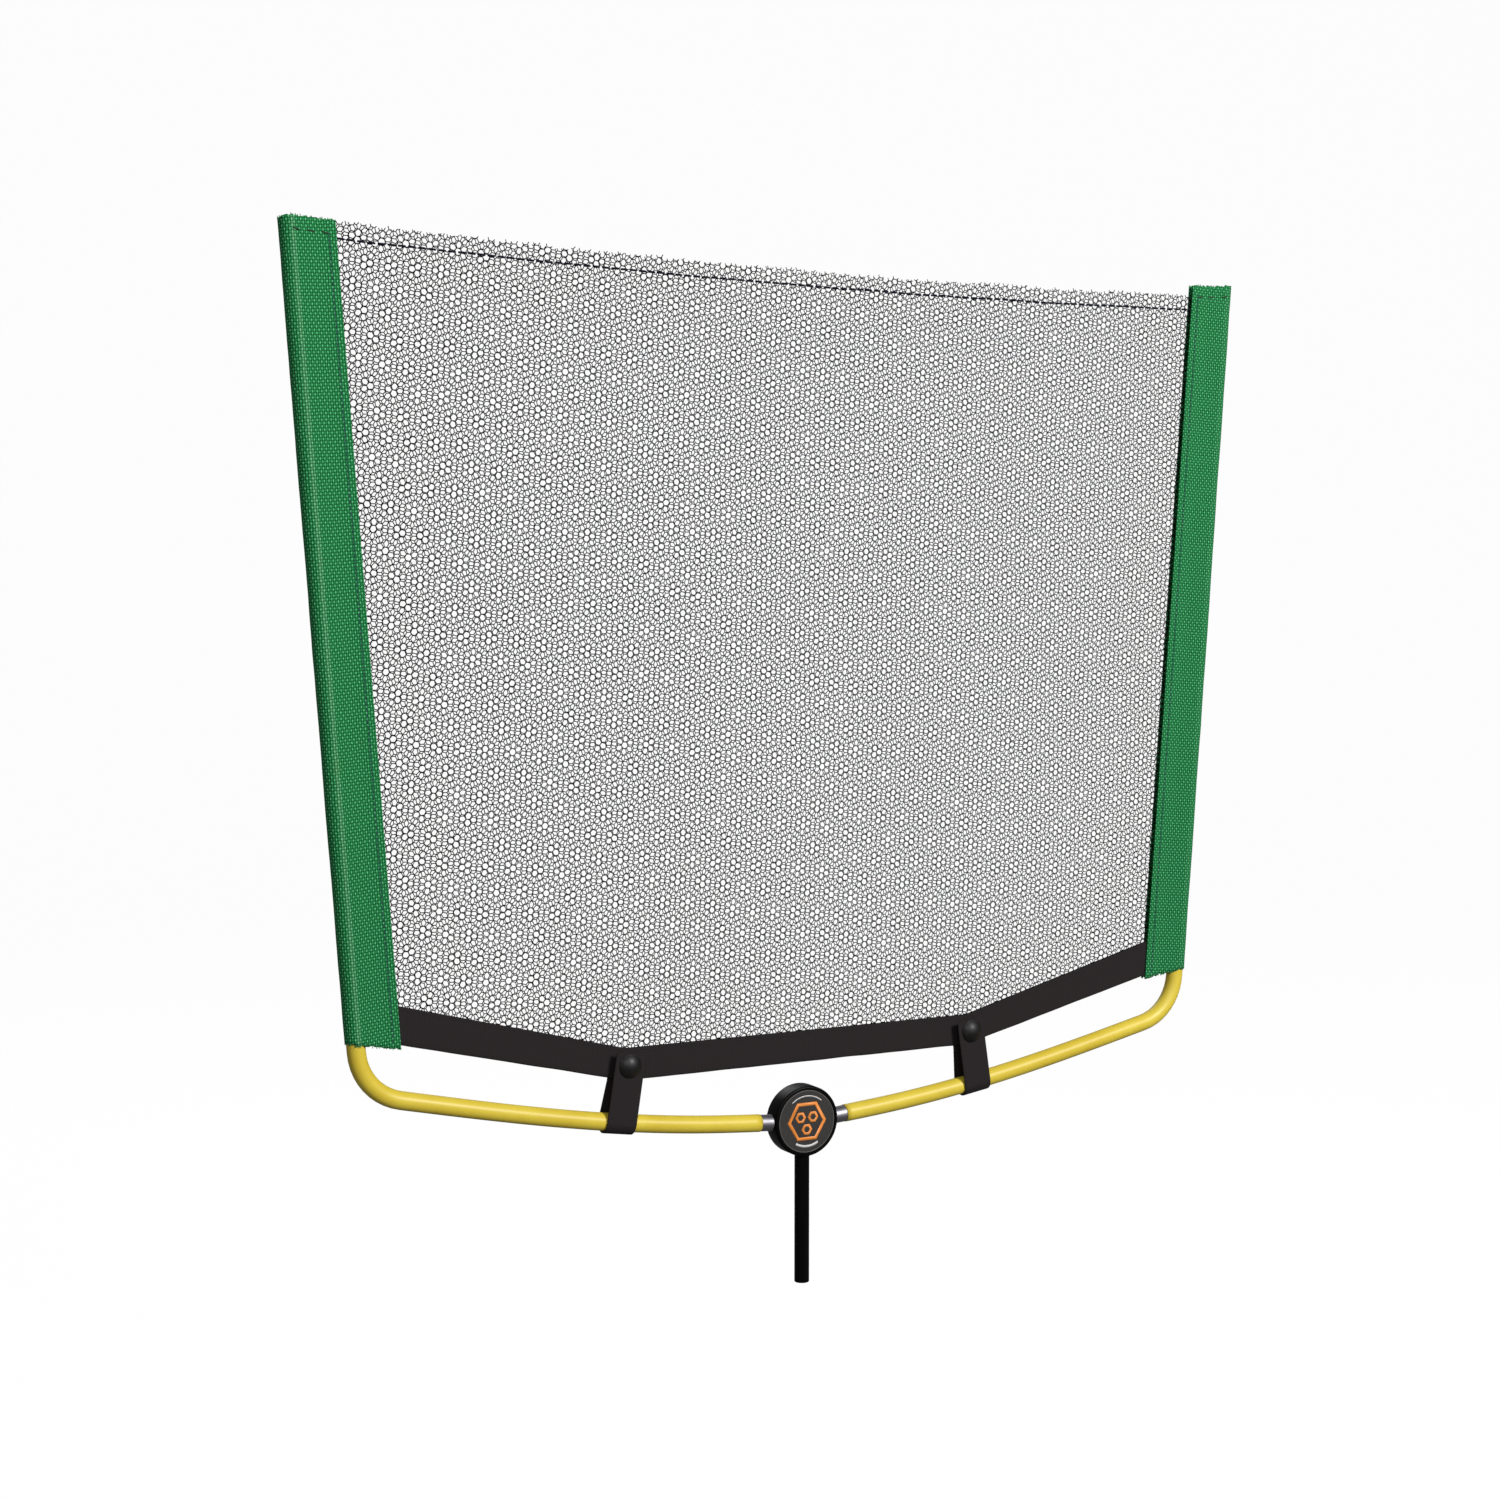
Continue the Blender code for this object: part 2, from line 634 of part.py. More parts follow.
def make_tab(label, side, parts, cutters, fabrics, look):
    frame = tab_frame(side)
    forward = frame @ Matrix.Translation((0, 0, SNAP_HEIGHT)) @ Matrix.Rotation(math.pi / 2, 4, "X")
    webbing = look["black_webbing"]
    strap = strip(label + "_tab_strap", tab_side_path(), TAB_WIDTH, TAB_THICKNESS, parts, webbing, frame)
    hole = rod_cutter(label + "_snap_hole", RIVET_DIAMETER / 2 + CLEARANCE, TAB_REACH, forward, cutters)
    for fabric in fabrics + [strap]:
        cut(fabric, hole)
    make_fixed_snap(label, forward, parts, look)
    make_flap(label, frame, forward, hole, parts, look)


def make_fixed_snap(label, forward, parts, look):
    """The snap's stud on the hem's front, and the rivet through the strap, the hem and the net."""
    front = HEM_THICKNESS / 2 + CLEARANCE
    flange = STUD_FLANGE_DIAMETER / 2
    post = STUD_DIAMETER / 2
    top = front + SNAP_FLANGE + STUD_HEIGHT
    edge = post / 6
    stud = [
        (0, top), (post - edge, top), (post, top - edge), (post, front + SNAP_FLANGE),
        (flange, front + SNAP_FLANGE), (flange, front), (0, front),
    ]
    turned(label + "_snap_stud", stud, parts, look["snap_metal"], forward)
    back = -(HEM_THICKNESS / 2 + 2 * CLEARANCE + TAB_THICKNESS)
    rivet = RIVET_DIAMETER / 2
    head = RIVET_FLANGE_DIAMETER / 2
    profile = [
        (0, front - CLEARANCE), (rivet, front - CLEARANCE), (rivet, back), (head, back),
        (head, back - SNAP_FLANGE), (0, back - SNAP_FLANGE),
    ]
    turned(label + "_snap_rivet", profile, parts, look["snap_metal"], forward)


def make_flap(label, frame, forward, hole, parts, look):
    """The strap's front end, with its snap cap and socket, hinged just in front of the tube."""
    inside = TUBE_RADIUS + CLEARANCE
    outside = inside + TAB_THICKNESS
    hinge = bpy.data.objects.new(label + "_flap_hinge", None)
    parts.objects.link(hinge)
    hinge.matrix_world = frame @ Matrix.Translation((0, -outside, HINGE_HEIGHT))
    bpy.context.view_layer.update()
    middle = (inside + outside) / 2
    path = [(-middle, HINGE_HEIGHT + HINGE_GAP / 2), (-middle, TAB_TOP)]
    flap = strip(label + "_tab_flap", path, TAB_WIDTH, TAB_THICKNESS, parts, look["black_webbing"], frame)
    cut(flap, hole)
    socket_back = inside - CLEARANCE
    socket_front = HEM_THICKNESS / 2 + CLEARANCE + SNAP_FLANGE + CLEARANCE
    outer = SOCKET_DIAMETER / 2
    edge = CLEARANCE
    ring = [
        (SOCKET_BORE / 2, socket_back), (outer - edge, socket_back), (outer, socket_back - edge),
        (outer, socket_front + edge), (outer - edge, socket_front), (SOCKET_BORE / 2, socket_front),
    ]
    socket = turned(label + "_snap_socket", ring, parts, look["snap_metal"], forward, closed=True)
    seat = outside + CLEARANCE
    rivet = RIVET_DIAMETER / 2
    rivet_end = HEM_THICKNESS / 2 + 2 * CLEARANCE + SNAP_FLANGE + STUD_HEIGHT
    cap_profile = dome_profile(CAP_DIAMETER / 2, CAP_DOME, seat + CLEARANCE)
    cap_profile += [(CAP_DIAMETER / 2, seat), (rivet, seat), (rivet, rivet_end), (0, rivet_end)]
    cap = turned(label + "_snap_cap", cap_profile, parts, look["gloss_black"], forward)
    for piece in (flap, socket, cap):
        bpy.context.view_layer.update()
        world = piece.matrix_world.copy()
        piece.parent = hinge
        piece.matrix_parent_inverse = hinge.matrix_world.inverted()
        piece.matrix_world = world


def dome_profile(radius, height, base):
    """Points from the top of a shallow dome down to its rim at the base."""
    sphere = (radius ** 2 + height ** 2) / (2 * height)
    reach = math.asin(radius / sphere)
    points = []
    for i in range(7):
        angle = reach * i / 6
        points.append((sphere * math.sin(angle), base + height - sphere * (1 - math.cos(angle))))
    return points


def make_looks():
    return {
        "black_metal": finish_material("black_metal", (0.012, 0.012, 0.013), 0.35, 0.6),
        "bare_metal": finish_material("bare_metal", (0.42, 0.41, 0.42), 0.35, 1.0),
        "badge": finish_material("badge", (0.07, 0.065, 0.06), 0.4),
        "yellow": finish_material("yellow_paint", (0.66, 0.50, 0.09), 0.4),
        "black_plastic": finish_material("black_plastic", (0.015, 0.015, 0.015), 0.5),
        "cord": finish_material("cord", (0.03, 0.03, 0.03), 0.8),
        "green": finish_material("green_fabric", (0.01, 0.22, 0.05), 0.85),
        "net": finish_material("net", (0.02, 0.02, 0.02), 0.8),
        "black_webbing": finish_material("black_webbing", (0.02, 0.018, 0.018), 0.8),
        "snap_metal": finish_material("snap_metal", (0.05, 0.05, 0.05), 0.3, 1.0),
        "gloss_black": finish_material("gloss_black", (0.01, 0.01, 0.01), 0.12),
    }


def main():
    clear_scene()
    parts = collection("open_end_net")
    cutters = collection("cutters")
    look = make_looks()
    cross_bore = make_hub(parts, cutters, look)
    make_badge(parts, look)
    make_pin(parts, cross_bore, look)
    make_cord(parts, look)
    fabrics = [make_hem(parts, cutters, look)] + make_nets(parts, look)
    for label, side in SIDES.items():
        make_arm_ferrule(label, side, parts, look)
        make_arm_tube(label, side, parts, look)
        make_corner_ferrule(label, side, parts, look)
        make_upright(label, side, parts, look)
        make_tip(label, side, parts, look)
        make_sleeve(label, side, parts, look)
        make_tab(label, side, parts, cutters, fabrics, look)
    for piece in parts.objects:
        if piece.type == "MESH":
            keep_corners_crisp(piece)


main()
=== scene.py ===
"""Looks for the open-ended two-layer net on its springy U-frame.

Metres, +Z up, front towards -Y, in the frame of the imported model. Sizes and places come from the
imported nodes; what is named here is only what they don't hold, such as threads, weave and stitches.
"""
import json
import math
import random

import bmesh
import bpy
import numpy as np
from mathutils import Matrix, Vector, noise


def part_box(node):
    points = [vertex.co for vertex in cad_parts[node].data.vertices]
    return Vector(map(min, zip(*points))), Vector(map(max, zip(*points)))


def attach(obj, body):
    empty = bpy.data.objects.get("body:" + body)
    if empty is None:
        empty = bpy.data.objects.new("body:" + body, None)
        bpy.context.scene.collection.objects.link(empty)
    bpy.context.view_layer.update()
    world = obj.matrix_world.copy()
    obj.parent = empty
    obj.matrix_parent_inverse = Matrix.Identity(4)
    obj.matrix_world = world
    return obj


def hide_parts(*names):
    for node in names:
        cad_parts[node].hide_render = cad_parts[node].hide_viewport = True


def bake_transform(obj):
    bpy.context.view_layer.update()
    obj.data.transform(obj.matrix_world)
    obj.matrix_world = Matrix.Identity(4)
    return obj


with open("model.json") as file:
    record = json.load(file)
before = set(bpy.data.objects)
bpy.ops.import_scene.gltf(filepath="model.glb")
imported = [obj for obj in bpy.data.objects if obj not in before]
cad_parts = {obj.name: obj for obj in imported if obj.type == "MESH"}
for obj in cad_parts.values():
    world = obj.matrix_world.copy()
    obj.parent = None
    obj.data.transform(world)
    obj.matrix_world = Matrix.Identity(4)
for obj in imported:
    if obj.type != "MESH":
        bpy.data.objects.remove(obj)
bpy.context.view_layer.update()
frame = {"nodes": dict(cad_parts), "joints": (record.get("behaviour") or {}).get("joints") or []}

MM = 0.001
SIDES = ("left", "right")
ROOT = "frame_and_net"

# Camera, lights and floor
LOOK_AT = Vector((0.0, 0.07, 0.337))
CAMERA_DISTANCE = 1.6
CAMERA_AZIMUTH = math.radians(28.23)
CAMERA_ELEVATION = math.radians(3.88)
CAMERA_LENS = 58.48
FLOOR_DROP = 0.30  # floor below the pin's foot
BACKDROP_REACH = 5.0
FLOOR_BEND = 1.2
SKY_LIGHT = 0.12
PAPER_GREY = 0.06
PAPER_GLOW = 0.96

GAP = 0.3 * MM  # between pieces that touch
ROUND_STEPS = 96

# Badge: its printed lines are (inner, outer) radii
BADGE_EDGE = 0.12 * MM
INK = 0.04 * MM
CELL_LINE = 11.6 * MM, 14.0 * MM
SMALL_CELL = 2.1 * MM, 3.9 * MM
SMALL_CELL_PLACE = 5.2 * MM
TOP_LINE = 16.0 * MM, 16.7 * MM
LOW_LINE = 15.2 * MM, 16.7 * MM
RIM_LINE_INSET = 0.55 * MM, 0.25 * MM

# Hub, pin and tubes
HUB_EDGE = 1.2 * MM
BEZEL_EDGE = 0.3 * MM
PIN_EDGE = 0.6 * MM
TUBE_WALL = 0.7 * MM

# Sleeves
CLOTH = 0.5 * MM
END_PITCH = 1.5 * MM
PICK_PITCH = 1.8 * MM
YARN_WANDER = 0.9 * MM
LIP_INNER = 1.62 * MM  # the turned-in lip, from the net's middle plane
LIP_OUTER = 2.30 * MM  # the flat face over it
LIP_TURN_IN = 9.0 * MM
TAPER_END = 17.0 * MM  # where the face is flat, inward of the pole
TAPER_EASE = 4 * MM
TAPER_RISE = 0.55 * MM
POLE_LEAVE = math.radians(62)  # where the cloth leaves the pole
ROW_PITCH = 2.4 * MM
FRAY = 0.8 * MM
TOP_ROUNDING = 2.2 * MM  # how far the fold's top corner has worn down
TOP_ROUNDING_REACH = 4 * MM
TOP_CUT = {"left": 1.2 * MM, "right": 3.0 * MM}  # each sleeve was cut a little short by hand
SLACK_WAVE = 0.30 * MM
SLACK_RIPPLE = 0.10 * MM
CLOSING_THREAD = 0.35 * MM  # radius
CLOSING_PITCH = 8.9 * MM
CLOSING_STITCH = 4.4 * MM
CLOSING_DROP = 7.0 * MM
CLOSING_SLANT = 0.8 * MM
LIP_THREAD = 0.28 * MM  # radius
LIP_STITCH_PITCH = 3.4 * MM
LIP_STITCH = 2.5 * MM
LIP_STITCH_INSET = 4.7 * MM
LOOSE_THREAD = 0.24 * MM  # radius
LOOSE_ROOT = 1.2 * MM  # how deep in the cloth a loose end starts

# Net
NET_PITCH = 4.08 * MM
NET_THREAD = 0.58 * MM
NET_BACK_TURN = math.radians(-15)
NET_DEPTH = 0.36 * MM
NET_DRIFT = 0.8 * MM  # how far the cells wander from an even net
NET_TOP_TILT = 0.013
LATTICE_REACH = 0.5
TOP_THREAD = 0.68 * MM  # radius
TOP_THREAD_SKIN = 0.55 * MM
TOP_STITCH_DROP = 9.2 * MM
TOP_STITCH_PITCH = 6.1 * MM
TOP_STITCH_SHARE = 0.64
# along one stitch of the top row, how far it stands off the net, in thread radii
TOP_STITCH_ARCH = (0, -0.4), (0.06, 0.1), (0.2, 0.55), (0.5, 0.7), (0.8, 0.55), (0.94, 0.1), (1, -0.4)

# Hem
HEM_CLOTH = 0.45 * MM
RIB_PITCH = 1.3 * MM
HEM_THREAD = 0.16 * MM  # radius
HEM_STITCH_PITCH = 3.2 * MM
HEM_STITCH_SHARE = 0.72
HEM_SEAM_DROP = 2.4 * MM
# along one stitch, how far it stands off the webbing, in millimetres
HEM_STITCH_ARCH = (0.0, -0.12), (0.25, 0.12), (0.5, 0.16), (0.75, 0.12), (1.0, -0.12)
BOX_STITCH_ARCH = (0.12, -0.1), (0.3, 0.12), (0.5, 0.16), (0.7, 0.12), (0.88, -0.1)

# Snap tabs
WEBBING = 1.2 * MM
WEBBING_WIDTH = 20 * MM
WEBBING_PARTS = 25 * MM  # where the strap leaves the hem, above the arm's axis
HINGE_BELOW_AXIS = 1.0 * MM
CAP_RIM = 0.15 * MM
CAP_SHANK = 1.5 * MM  # radius
BOX_STITCH_INSET = 2.2 * MM
BOX_STITCH_LOW = 27.5 * MM


def srgb(code):
    """Linear colour of an sRGB hex code."""
    channels = [int(code[i:i + 2], 16) / 255 for i in (0, 2, 4)]
    return [c / 12.92 if c <= 0.04045 else ((c + 0.055) / 1.055) ** 2.4 for c in channels] + [1.0]


# ---- Camera, lights and floor ----

def aimed(data, place):
    """Puts a camera or a lamp in the scene, aimed at LOOK_AT."""
    made = bpy.data.objects.new(data.name, data)
    bpy.context.scene.collection.objects.link(made)
    made.location = place
    made.rotation_euler = (LOOK_AT - Vector(place)).to_track_quat("-Z", "Y").to_euler()
    return made


def make_camera():
    data = bpy.data.cameras.new("camera")
    data.lens = CAMERA_LENS
    data.clip_end = 50
    level = Vector((-math.sin(CAMERA_AZIMUTH), -math.cos(CAMERA_AZIMUTH), 0))
    away = level * math.cos(CAMERA_ELEVATION) + Vector((0, 0, math.sin(CAMERA_ELEVATION)))
    bpy.context.scene.camera = aimed(data, LOOK_AT + CAMERA_DISTANCE * away)


def soft_light(name, place, size, power):
    data = bpy.data.lights.new(name, "AREA")
    data.shape = "DISK"
    data.size = size
    data.energy = power
    aimed(data, place)


def make_studio():
    scene = bpy.context.scene
    scene.view_settings.view_transform = "Standard"
    world = bpy.data.worlds.new("studio")
    scene.world = world
    world.use_nodes = True
    background = world.node_tree.nodes["Background"]
    background.inputs["Color"].default_value = (1, 1, 1, 1)
    background.inputs["Strength"].default_value = SKY_LIGHT
    soft_light("key", (0.9, -2.5, 1.7), 0.9, 84)
    soft_light("fill", (-1.2, -2.1, 1.3), 1.2, 14)
    soft_light("back_light", (0.2, 1.9, 1.7), 1.4, 10)
    paper, tree = material("white_paper")
    shader = add(tree, "BsdfPrincipled", {
        "Base Color": (PAPER_GREY, PAPER_GREY, PAPER_GREY, 1), "Roughness": 1.0,
        "Emission Color": (1, 1, 1, 1), "Emission Strength": PAPER_GLOW,
    })
    add(tree, "OutputMaterial", {"Surface": shader})
    profile = [(0.0, -FLOOR_DROP)]
    for turn in np.linspace(0, math.pi / 2, 13):
        out = BACKDROP_REACH - FLOOR_BEND * (1 - math.sin(turn))
        profile.append((out, FLOOR_BEND * (1 - math.cos(turn)) - FLOOR_DROP))
    profile.append((BACKDROP_REACH, BACKDROP_REACH))
    floor = turned("floor", profile, (0, 0, 0), (0, 0, 1), paper, steps=ROUND_STEPS)
    # the paper's own glow keeps it near white, and doesn't light the object from below
    floor.visible_diffuse = False
    floor.visible_glossy = False


# ---- Materials ----

def add(tree, kind, links=None, **settings):
    """Adds a shader node with its settings, and its inputs' values or links.

    A node given as an input's value is linked by its first output in use.
    """
    node = tree.nodes.new("ShaderNode" + kind)
    for name, value in settings.items():
        setattr(node, name, value)
    for socket, value in (links or {}).items():
        if isinstance(value, bpy.types.Node):
            value = next(output for output in value.outputs if output.enabled)
        if isinstance(value, bpy.types.NodeSocket):
            tree.links.new(value, node.inputs[socket])
        else:
            node.inputs[socket].default_value = value
    return node


def material(name):
    made = bpy.data.materials.new(name)
    made.use_nodes = True
    made.node_tree.nodes.clear()
    return made, made.node_tree


def black_anodised_aluminium():
    """Aluminium, turned, bead-blasted and anodised black: satin and nearly black.

    The blasted pits are under 0.1 mm; they are drawn at 1.1 mm so that they show. Handling leaves
    smears about 8 mm wide that change the gloss, and rubs the edges paler.
    """
    made, tree = material("black_anodised_aluminium")
    place = add(tree, "TexCoord").outputs["Object"]
    pits = add(tree, "TexNoise", {"Vector": place, "Scale": 1 / (1.1 * MM), "Detail": 3.0})
    share = add(tree, "MapRange", {0: pits, 1: 0.35, 2: 0.7, 3: 0.0, 4: 1.0})
    tone = add(tree, "Mix", {0: share, 6: srgb("0a0a0b"), 7: srgb("121213")}, data_type="RGBA")
    edges = add(tree, "NewGeometry").outputs["Pointiness"]
    share = add(tree, "MapRange", {0: edges, 1: 0.53, 2: 0.60, 3: 0.0, 4: 0.35})
    tone = add(tree, "Mix", {0: share, 6: tone, 7: srgb("424244")}, data_type="RGBA")
    smears = add(tree, "TexNoise", {"Vector": place, "Scale": 1 / (8 * MM), "Detail": 3.0})
    gloss = add(tree, "MapRange", {0: smears, 1: 0.3, 2: 0.7, 3: 0.34, 4: 0.46})
    relief = add(tree, "Bump", {"Height": pits, "Distance": 0.02 * MM})
    shader = add(tree, "BsdfPrincipled", {
        "Base Color": tone, "Metallic": 0.85, "Roughness": gloss, "Normal": relief,
    })
    add(tree, "OutputMaterial", {"Surface": shader})
    return made


def black_oxide_steel():
    """Drawn steel bar, blackened and oiled: a soft sheen over faint lengthwise drawing lines.

    The lines are some hundredths of a millimetre apart; they are drawn 1.2 mm apart and 30 mm long.
    """
    made, tree = material("black_oxide_steel")
    place = add(tree, "TexCoord").outputs["Object"]
    place = add(tree, "Mapping", {"Vector": place, "Scale": (1, 1, 0.04)})
    lines = add(tree, "TexNoise", {"Vector": place, "Scale": 1 / (1.2 * MM), "Detail": 3.0})
    tone = add(tree, "Mix", {0: lines, 6: srgb("101011"), 7: srgb("1c1c1d")}, data_type="RGBA")
    gloss = add(tree, "MapRange", {0: lines, 1: 0.3, 2: 0.7, 3: 0.34, 4: 0.48})
    shader = add(tree, "BsdfPrincipled", {"Base Color": tone, "Metallic": 0.9, "Roughness": gloss})
    add(tree, "OutputMaterial", {"Surface": shader})
    return made


def drawn_aluminium():
    """Bare aluminium turned on a lathe: soft grey metal with fine rings, duller where it was handled.

    The rings are 0.2 mm apart and are drawn 1 mm apart; fingermarks are about 11 mm across.
    """
    made, tree = material("drawn_aluminium")
    place = add(tree, "TexCoord").outputs["Object"]
    banded = add(tree, "Mapping", {"Vector": place, "Scale": (1, 0.1, 0.1)})
    rings = add(tree, "TexNoise", {"Vector": banded, "Scale": 1 / (1.0 * MM), "Detail": 3.0})
    tone = add(tree, "Mix", {0: rings, 6: srgb("908e94"), 7: srgb("a6a4aa")}, data_type="RGBA")
    fingers = add(tree, "TexNoise", {"Vector": place, "Scale": 1 / (11 * MM), "Detail": 3.0})
    gloss = add(tree, "MapRange", {0: fingers, 1: 0.3, 2: 0.7, 3: 0.38, 4: 0.52})
    relief = add(tree, "Bump", {"Height": rings, "Distance": 0.002 * MM})
    shader = add(tree, "BsdfPrincipled", {
        "Base Color": tone, "Metallic": 1.0, "Roughness": gloss, "Normal": relief,
    })
    add(tree, "OutputMaterial", {"Surface": shader})
    return made


def yellow_enamel():
    """Enamel baked on aluminium tube: mustard yellow with a soft, broad highlight.

    The sprayed coat has an orange peel 2.2 mm across, dusty patches near 30 mm and specks of
    0.7 mm.
    """
    made, tree = material("yellow_enamel")
    place = add(tree, "TexCoord").outputs["Object"]
    patches = add(tree, "TexNoise", {"Vector": place, "Scale": 1 / (29 * MM), "Detail": 5.0})
    share = add(tree, "MapRange", {0: patches, 1: 0.35, 2: 0.65, 3: 0.0, 4: 1.0})
    tone = add(tree, "Mix", {0: share, 6: srgb("dbc03a"), 7: srgb("e5cd45")}, data_type="RGBA")
    specks = add(tree, "TexNoise", {"Vector": place, "Scale": 1 / (0.7 * MM), "Detail": 3.0})
    share = add(tree, "MapRange", {0: specks, 1: 0.68, 2: 0.74, 3: 0.0, 4: 0.5})
    tone = add(tree, "Mix", {0: share, 6: tone, 7: srgb("9c8330")}, data_type="RGBA")
    gloss = add(tree, "MapRange", {0: patches, 1: 0.3, 2: 0.7, 3: 0.38, 4: 0.46})
    peel = add(tree, "TexNoise", {"Vector": place, "Scale": 1 / (2.2 * MM), "Detail": 3.0})
    relief = add(tree, "Bump", {"Height": peel, "Distance": 0.02 * MM})
    shader = add(tree, "BsdfPrincipled", {
        "Base Color": tone, "IOR": 1.5, "Roughness": gloss, "Coat Weight": 0.06,
        "Coat Roughness": 0.25, "Normal": relief,
    })
    add(tree, "OutputMaterial", {"Surface": shader})
    return made


def printed_film(name, ink):
    """Screen-printed polyester film: even ink over a faint leather embossing, cells near 0.5 mm."""
    made, tree = material(name)
    place = add(tree, "TexCoord").outputs["Object"]
    cells = add(tree, "TexNoise", {"Vector": place, "Scale": 1 / (0.45 * MM), "Detail": 3.0})
    share = add(tree, "MapRange", {0: cells, 1: 0.3, 2: 0.7, 3: 0.0, 4: 0.1})
    tone = add(tree, "Mix", {0: share, 6: srgb(ink), 7: srgb("8a8784")}, data_type="RGBA")
    gloss = add(tree, "MapRange", {0: cells, 1: 0.3, 2: 0.7, 3: 0.40, 4: 0.52})
    relief = add(tree, "Bump", {"Height": cells, "Distance": 0.01 * MM})
    shader = add(tree, "BsdfPrincipled", {
        "Base Color": tone, "IOR": 1.5, "Roughness": gloss, "Normal": relief,
    })
    add(tree, "OutputMaterial", {"Surface": shader})
    return made


def green_duck_cloth(name, ridge, ridge_highlight):
    """Plain-woven cotton duck, dyed green: round threads, dark in the gaps and pale on the crowns.

    Its ends lie 1.5 mm apart and its picks 1.8 mm. ridge_highlight is how pale a painted highlight
    makes the cloth along the ridge that the pole presses forward.
    """
    made, tree = material(name)
    cloth = add(tree, "UVMap", uv_map="cloth")
    # the yarns wander a little, over 6 mm
    wobble = add(tree, "TexNoise", {"Vector": cloth, "Scale": 1 / (6 * MM), "Detail": 2.0}).outputs[1]
    loose = add(tree, "VectorMath", {0: wobble, 1: (0.5, 0.5, 0.5)}, operation="SUBTRACT")
    loose = add(tree, "VectorMath", {0: loose, "Scale": YARN_WANDER}, operation="SCALE")
    place = add(tree, "VectorMath", {0: cloth, 1: loose}, operation="ADD")
    across, along = add(tree, "SeparateXYZ", {0: place}).outputs[:2]
    turns = add(tree, "Math", {0: across, 1: math.pi / END_PITCH}, operation="MULTIPLY")
    ends = add(tree, "Math", {0: turns}, operation="SINE")
    turns = add(tree, "Math", {0: along, 1: math.pi / PICK_PITCH}, operation="MULTIPLY")
    picks = add(tree, "Math", {0: turns}, operation="SINE")
    both = add(tree, "Math", {0: ends, 1: picks}, operation="MULTIPLY")
    over = add(tree, "Math", {0: both, 1: 0.0}, operation="GREATER_THAN")
    warp = add(tree, "Math", {0: ends}, operation="ABSOLUTE")
    weft = add(tree, "Math", {0: picks}, operation="ABSOLUTE")
    bend = add(tree, "MapRange", {0: weft, 1: 0.0, 2: 1.0, 3: 0.55, 4: 1.0})
    warp_crown = add(tree, "Math", {0: warp, 1: bend}, operation="MULTIPLY")
    bend = add(tree, "MapRange", {0: warp, 1: 0.0, 2: 1.0, 3: 0.25, 4: 0.70})
    weft_crown = add(tree, "Math", {0: weft, 1: bend}, operation="MULTIPLY")
    crown = add(tree, "Mix", {0: over, 2: weft_crown, 3: warp_crown})
    # the weave is the cloth's own pattern; its gaps are darkened as painted shade and its highest crowns
    # paled as a painted highlight
    share = add(tree, "MapRange", {0: crown, 1: 0.12, 2: 0.66, 3: 0.0, 4: 1.0})
    tone = add(tree, "Mix", {0: share, 6: srgb("034d20"), 7: srgb("208d4d")}, data_type="RGBA")
    share = add(tree, "MapRange", {0: crown, 1: 0.66, 2: 0.96, 3: 0.0, 4: 1.0})
    tone = add(tree, "Mix", {0: share, 6: tone, 7: srgb("6ec38e")}, data_type="RGBA")
    # painted highlight: a pale line along the pole's front ridge, strongest on the yarns' crowns
    from_ridge = add(tree, "Math", {0: across, 1: ridge}, operation="SUBTRACT")
    away = add(tree, "Math", {0: from_ridge}, operation="ABSOLUTE")
    near = add(tree, "MapRange", {0: away, 1: 0.3 * MM, 2: 2.2 * MM, 3: ridge_highlight, 4: 0.0})
    high = add(tree, "MapRange", {0: crown, 1: 0.15, 2: 0.9, 3: 0.1, 4: 1.0})
    share = add(tree, "Math", {0: near, 1: high}, operation="MULTIPLY")
    tone = add(tree, "Mix", {0: share, 6: tone, 7: srgb("86c496")}, data_type="RGBA")
    # grass stains, some 45 mm across
    worn = add(tree, "TexCoord").outputs["Object"]
    stains = add(tree, "TexNoise", {"Vector": worn, "Scale": 1 / (45 * MM), "Detail": 4.0})
    share = add(tree, "MapRange", {0: stains, 1: 0.66, 2: 0.76, 3: 0.0, 4: 0.35})
    tone = add(tree, "Mix", {0: share, 6: tone, 7: srgb("3f6a1c")}, data_type="RGBA")
    relief = add(tree, "Bump", {"Height": crown, "Distance": 0.35 * MM})
    shader = add(tree, "BsdfPrincipled", {
        "Base Color": tone, "IOR": 1.45, "Roughness": 0.85, "Specular IOR Level": 0.25,
        "Sheen Weight": 0.1, "Sheen Roughness": 0.5, "Sheen Tint": srgb("8fd0a4"), "Normal": relief,
    })
    add(tree, "OutputMaterial", {"Surface": shader})
    return made


def black_webbing():
    """Flat-woven nylon webbing, dyed brown-black: dull, with ribs 1.3 mm apart across its width."""
    made, tree = material("black_webbing")
    cloth = add(tree, "UVMap", uv_map="cloth")
    across, along = add(tree, "SeparateXYZ", {0: cloth}).outputs[:2]
    waves = []
    for run, pitch in ((across, RIB_PITCH), (along, RIB_PITCH / 2)):
        turns = add(tree, "Math", {0: run, 1: math.pi / pitch}, operation="MULTIPLY")
        wave = add(tree, "Math", {0: turns}, operation="SINE")
        waves.append(add(tree, "Math", {0: wave}, operation="ABSOLUTE"))
    ribs, threads = waves
    height = add(tree, "Math", {0: threads, 1: 0.4, 2: ribs}, operation="MULTIPLY_ADD")
    share = add(tree, "MapRange", {0: height, 1: 0.1, 2: 1.3, 3: 0.0, 4: 1.0})
    tone = add(tree, "Mix", {0: share, 6: srgb("1c1819"), 7: srgb("272223")}, data_type="RGBA")
    relief = add(tree, "Bump", {"Height": height, "Distance": 0.05 * MM})
    shader = add(tree, "BsdfPrincipled", {
        "Base Color": tone, "IOR": 1.5, "Roughness": 0.8, "Specular IOR Level": 0.2,
        "Sheen Weight": 0.02, "Sheen Roughness": 0.4, "Normal": relief,
    })
    add(tree, "OutputMaterial", {"Surface": shader})
    return made


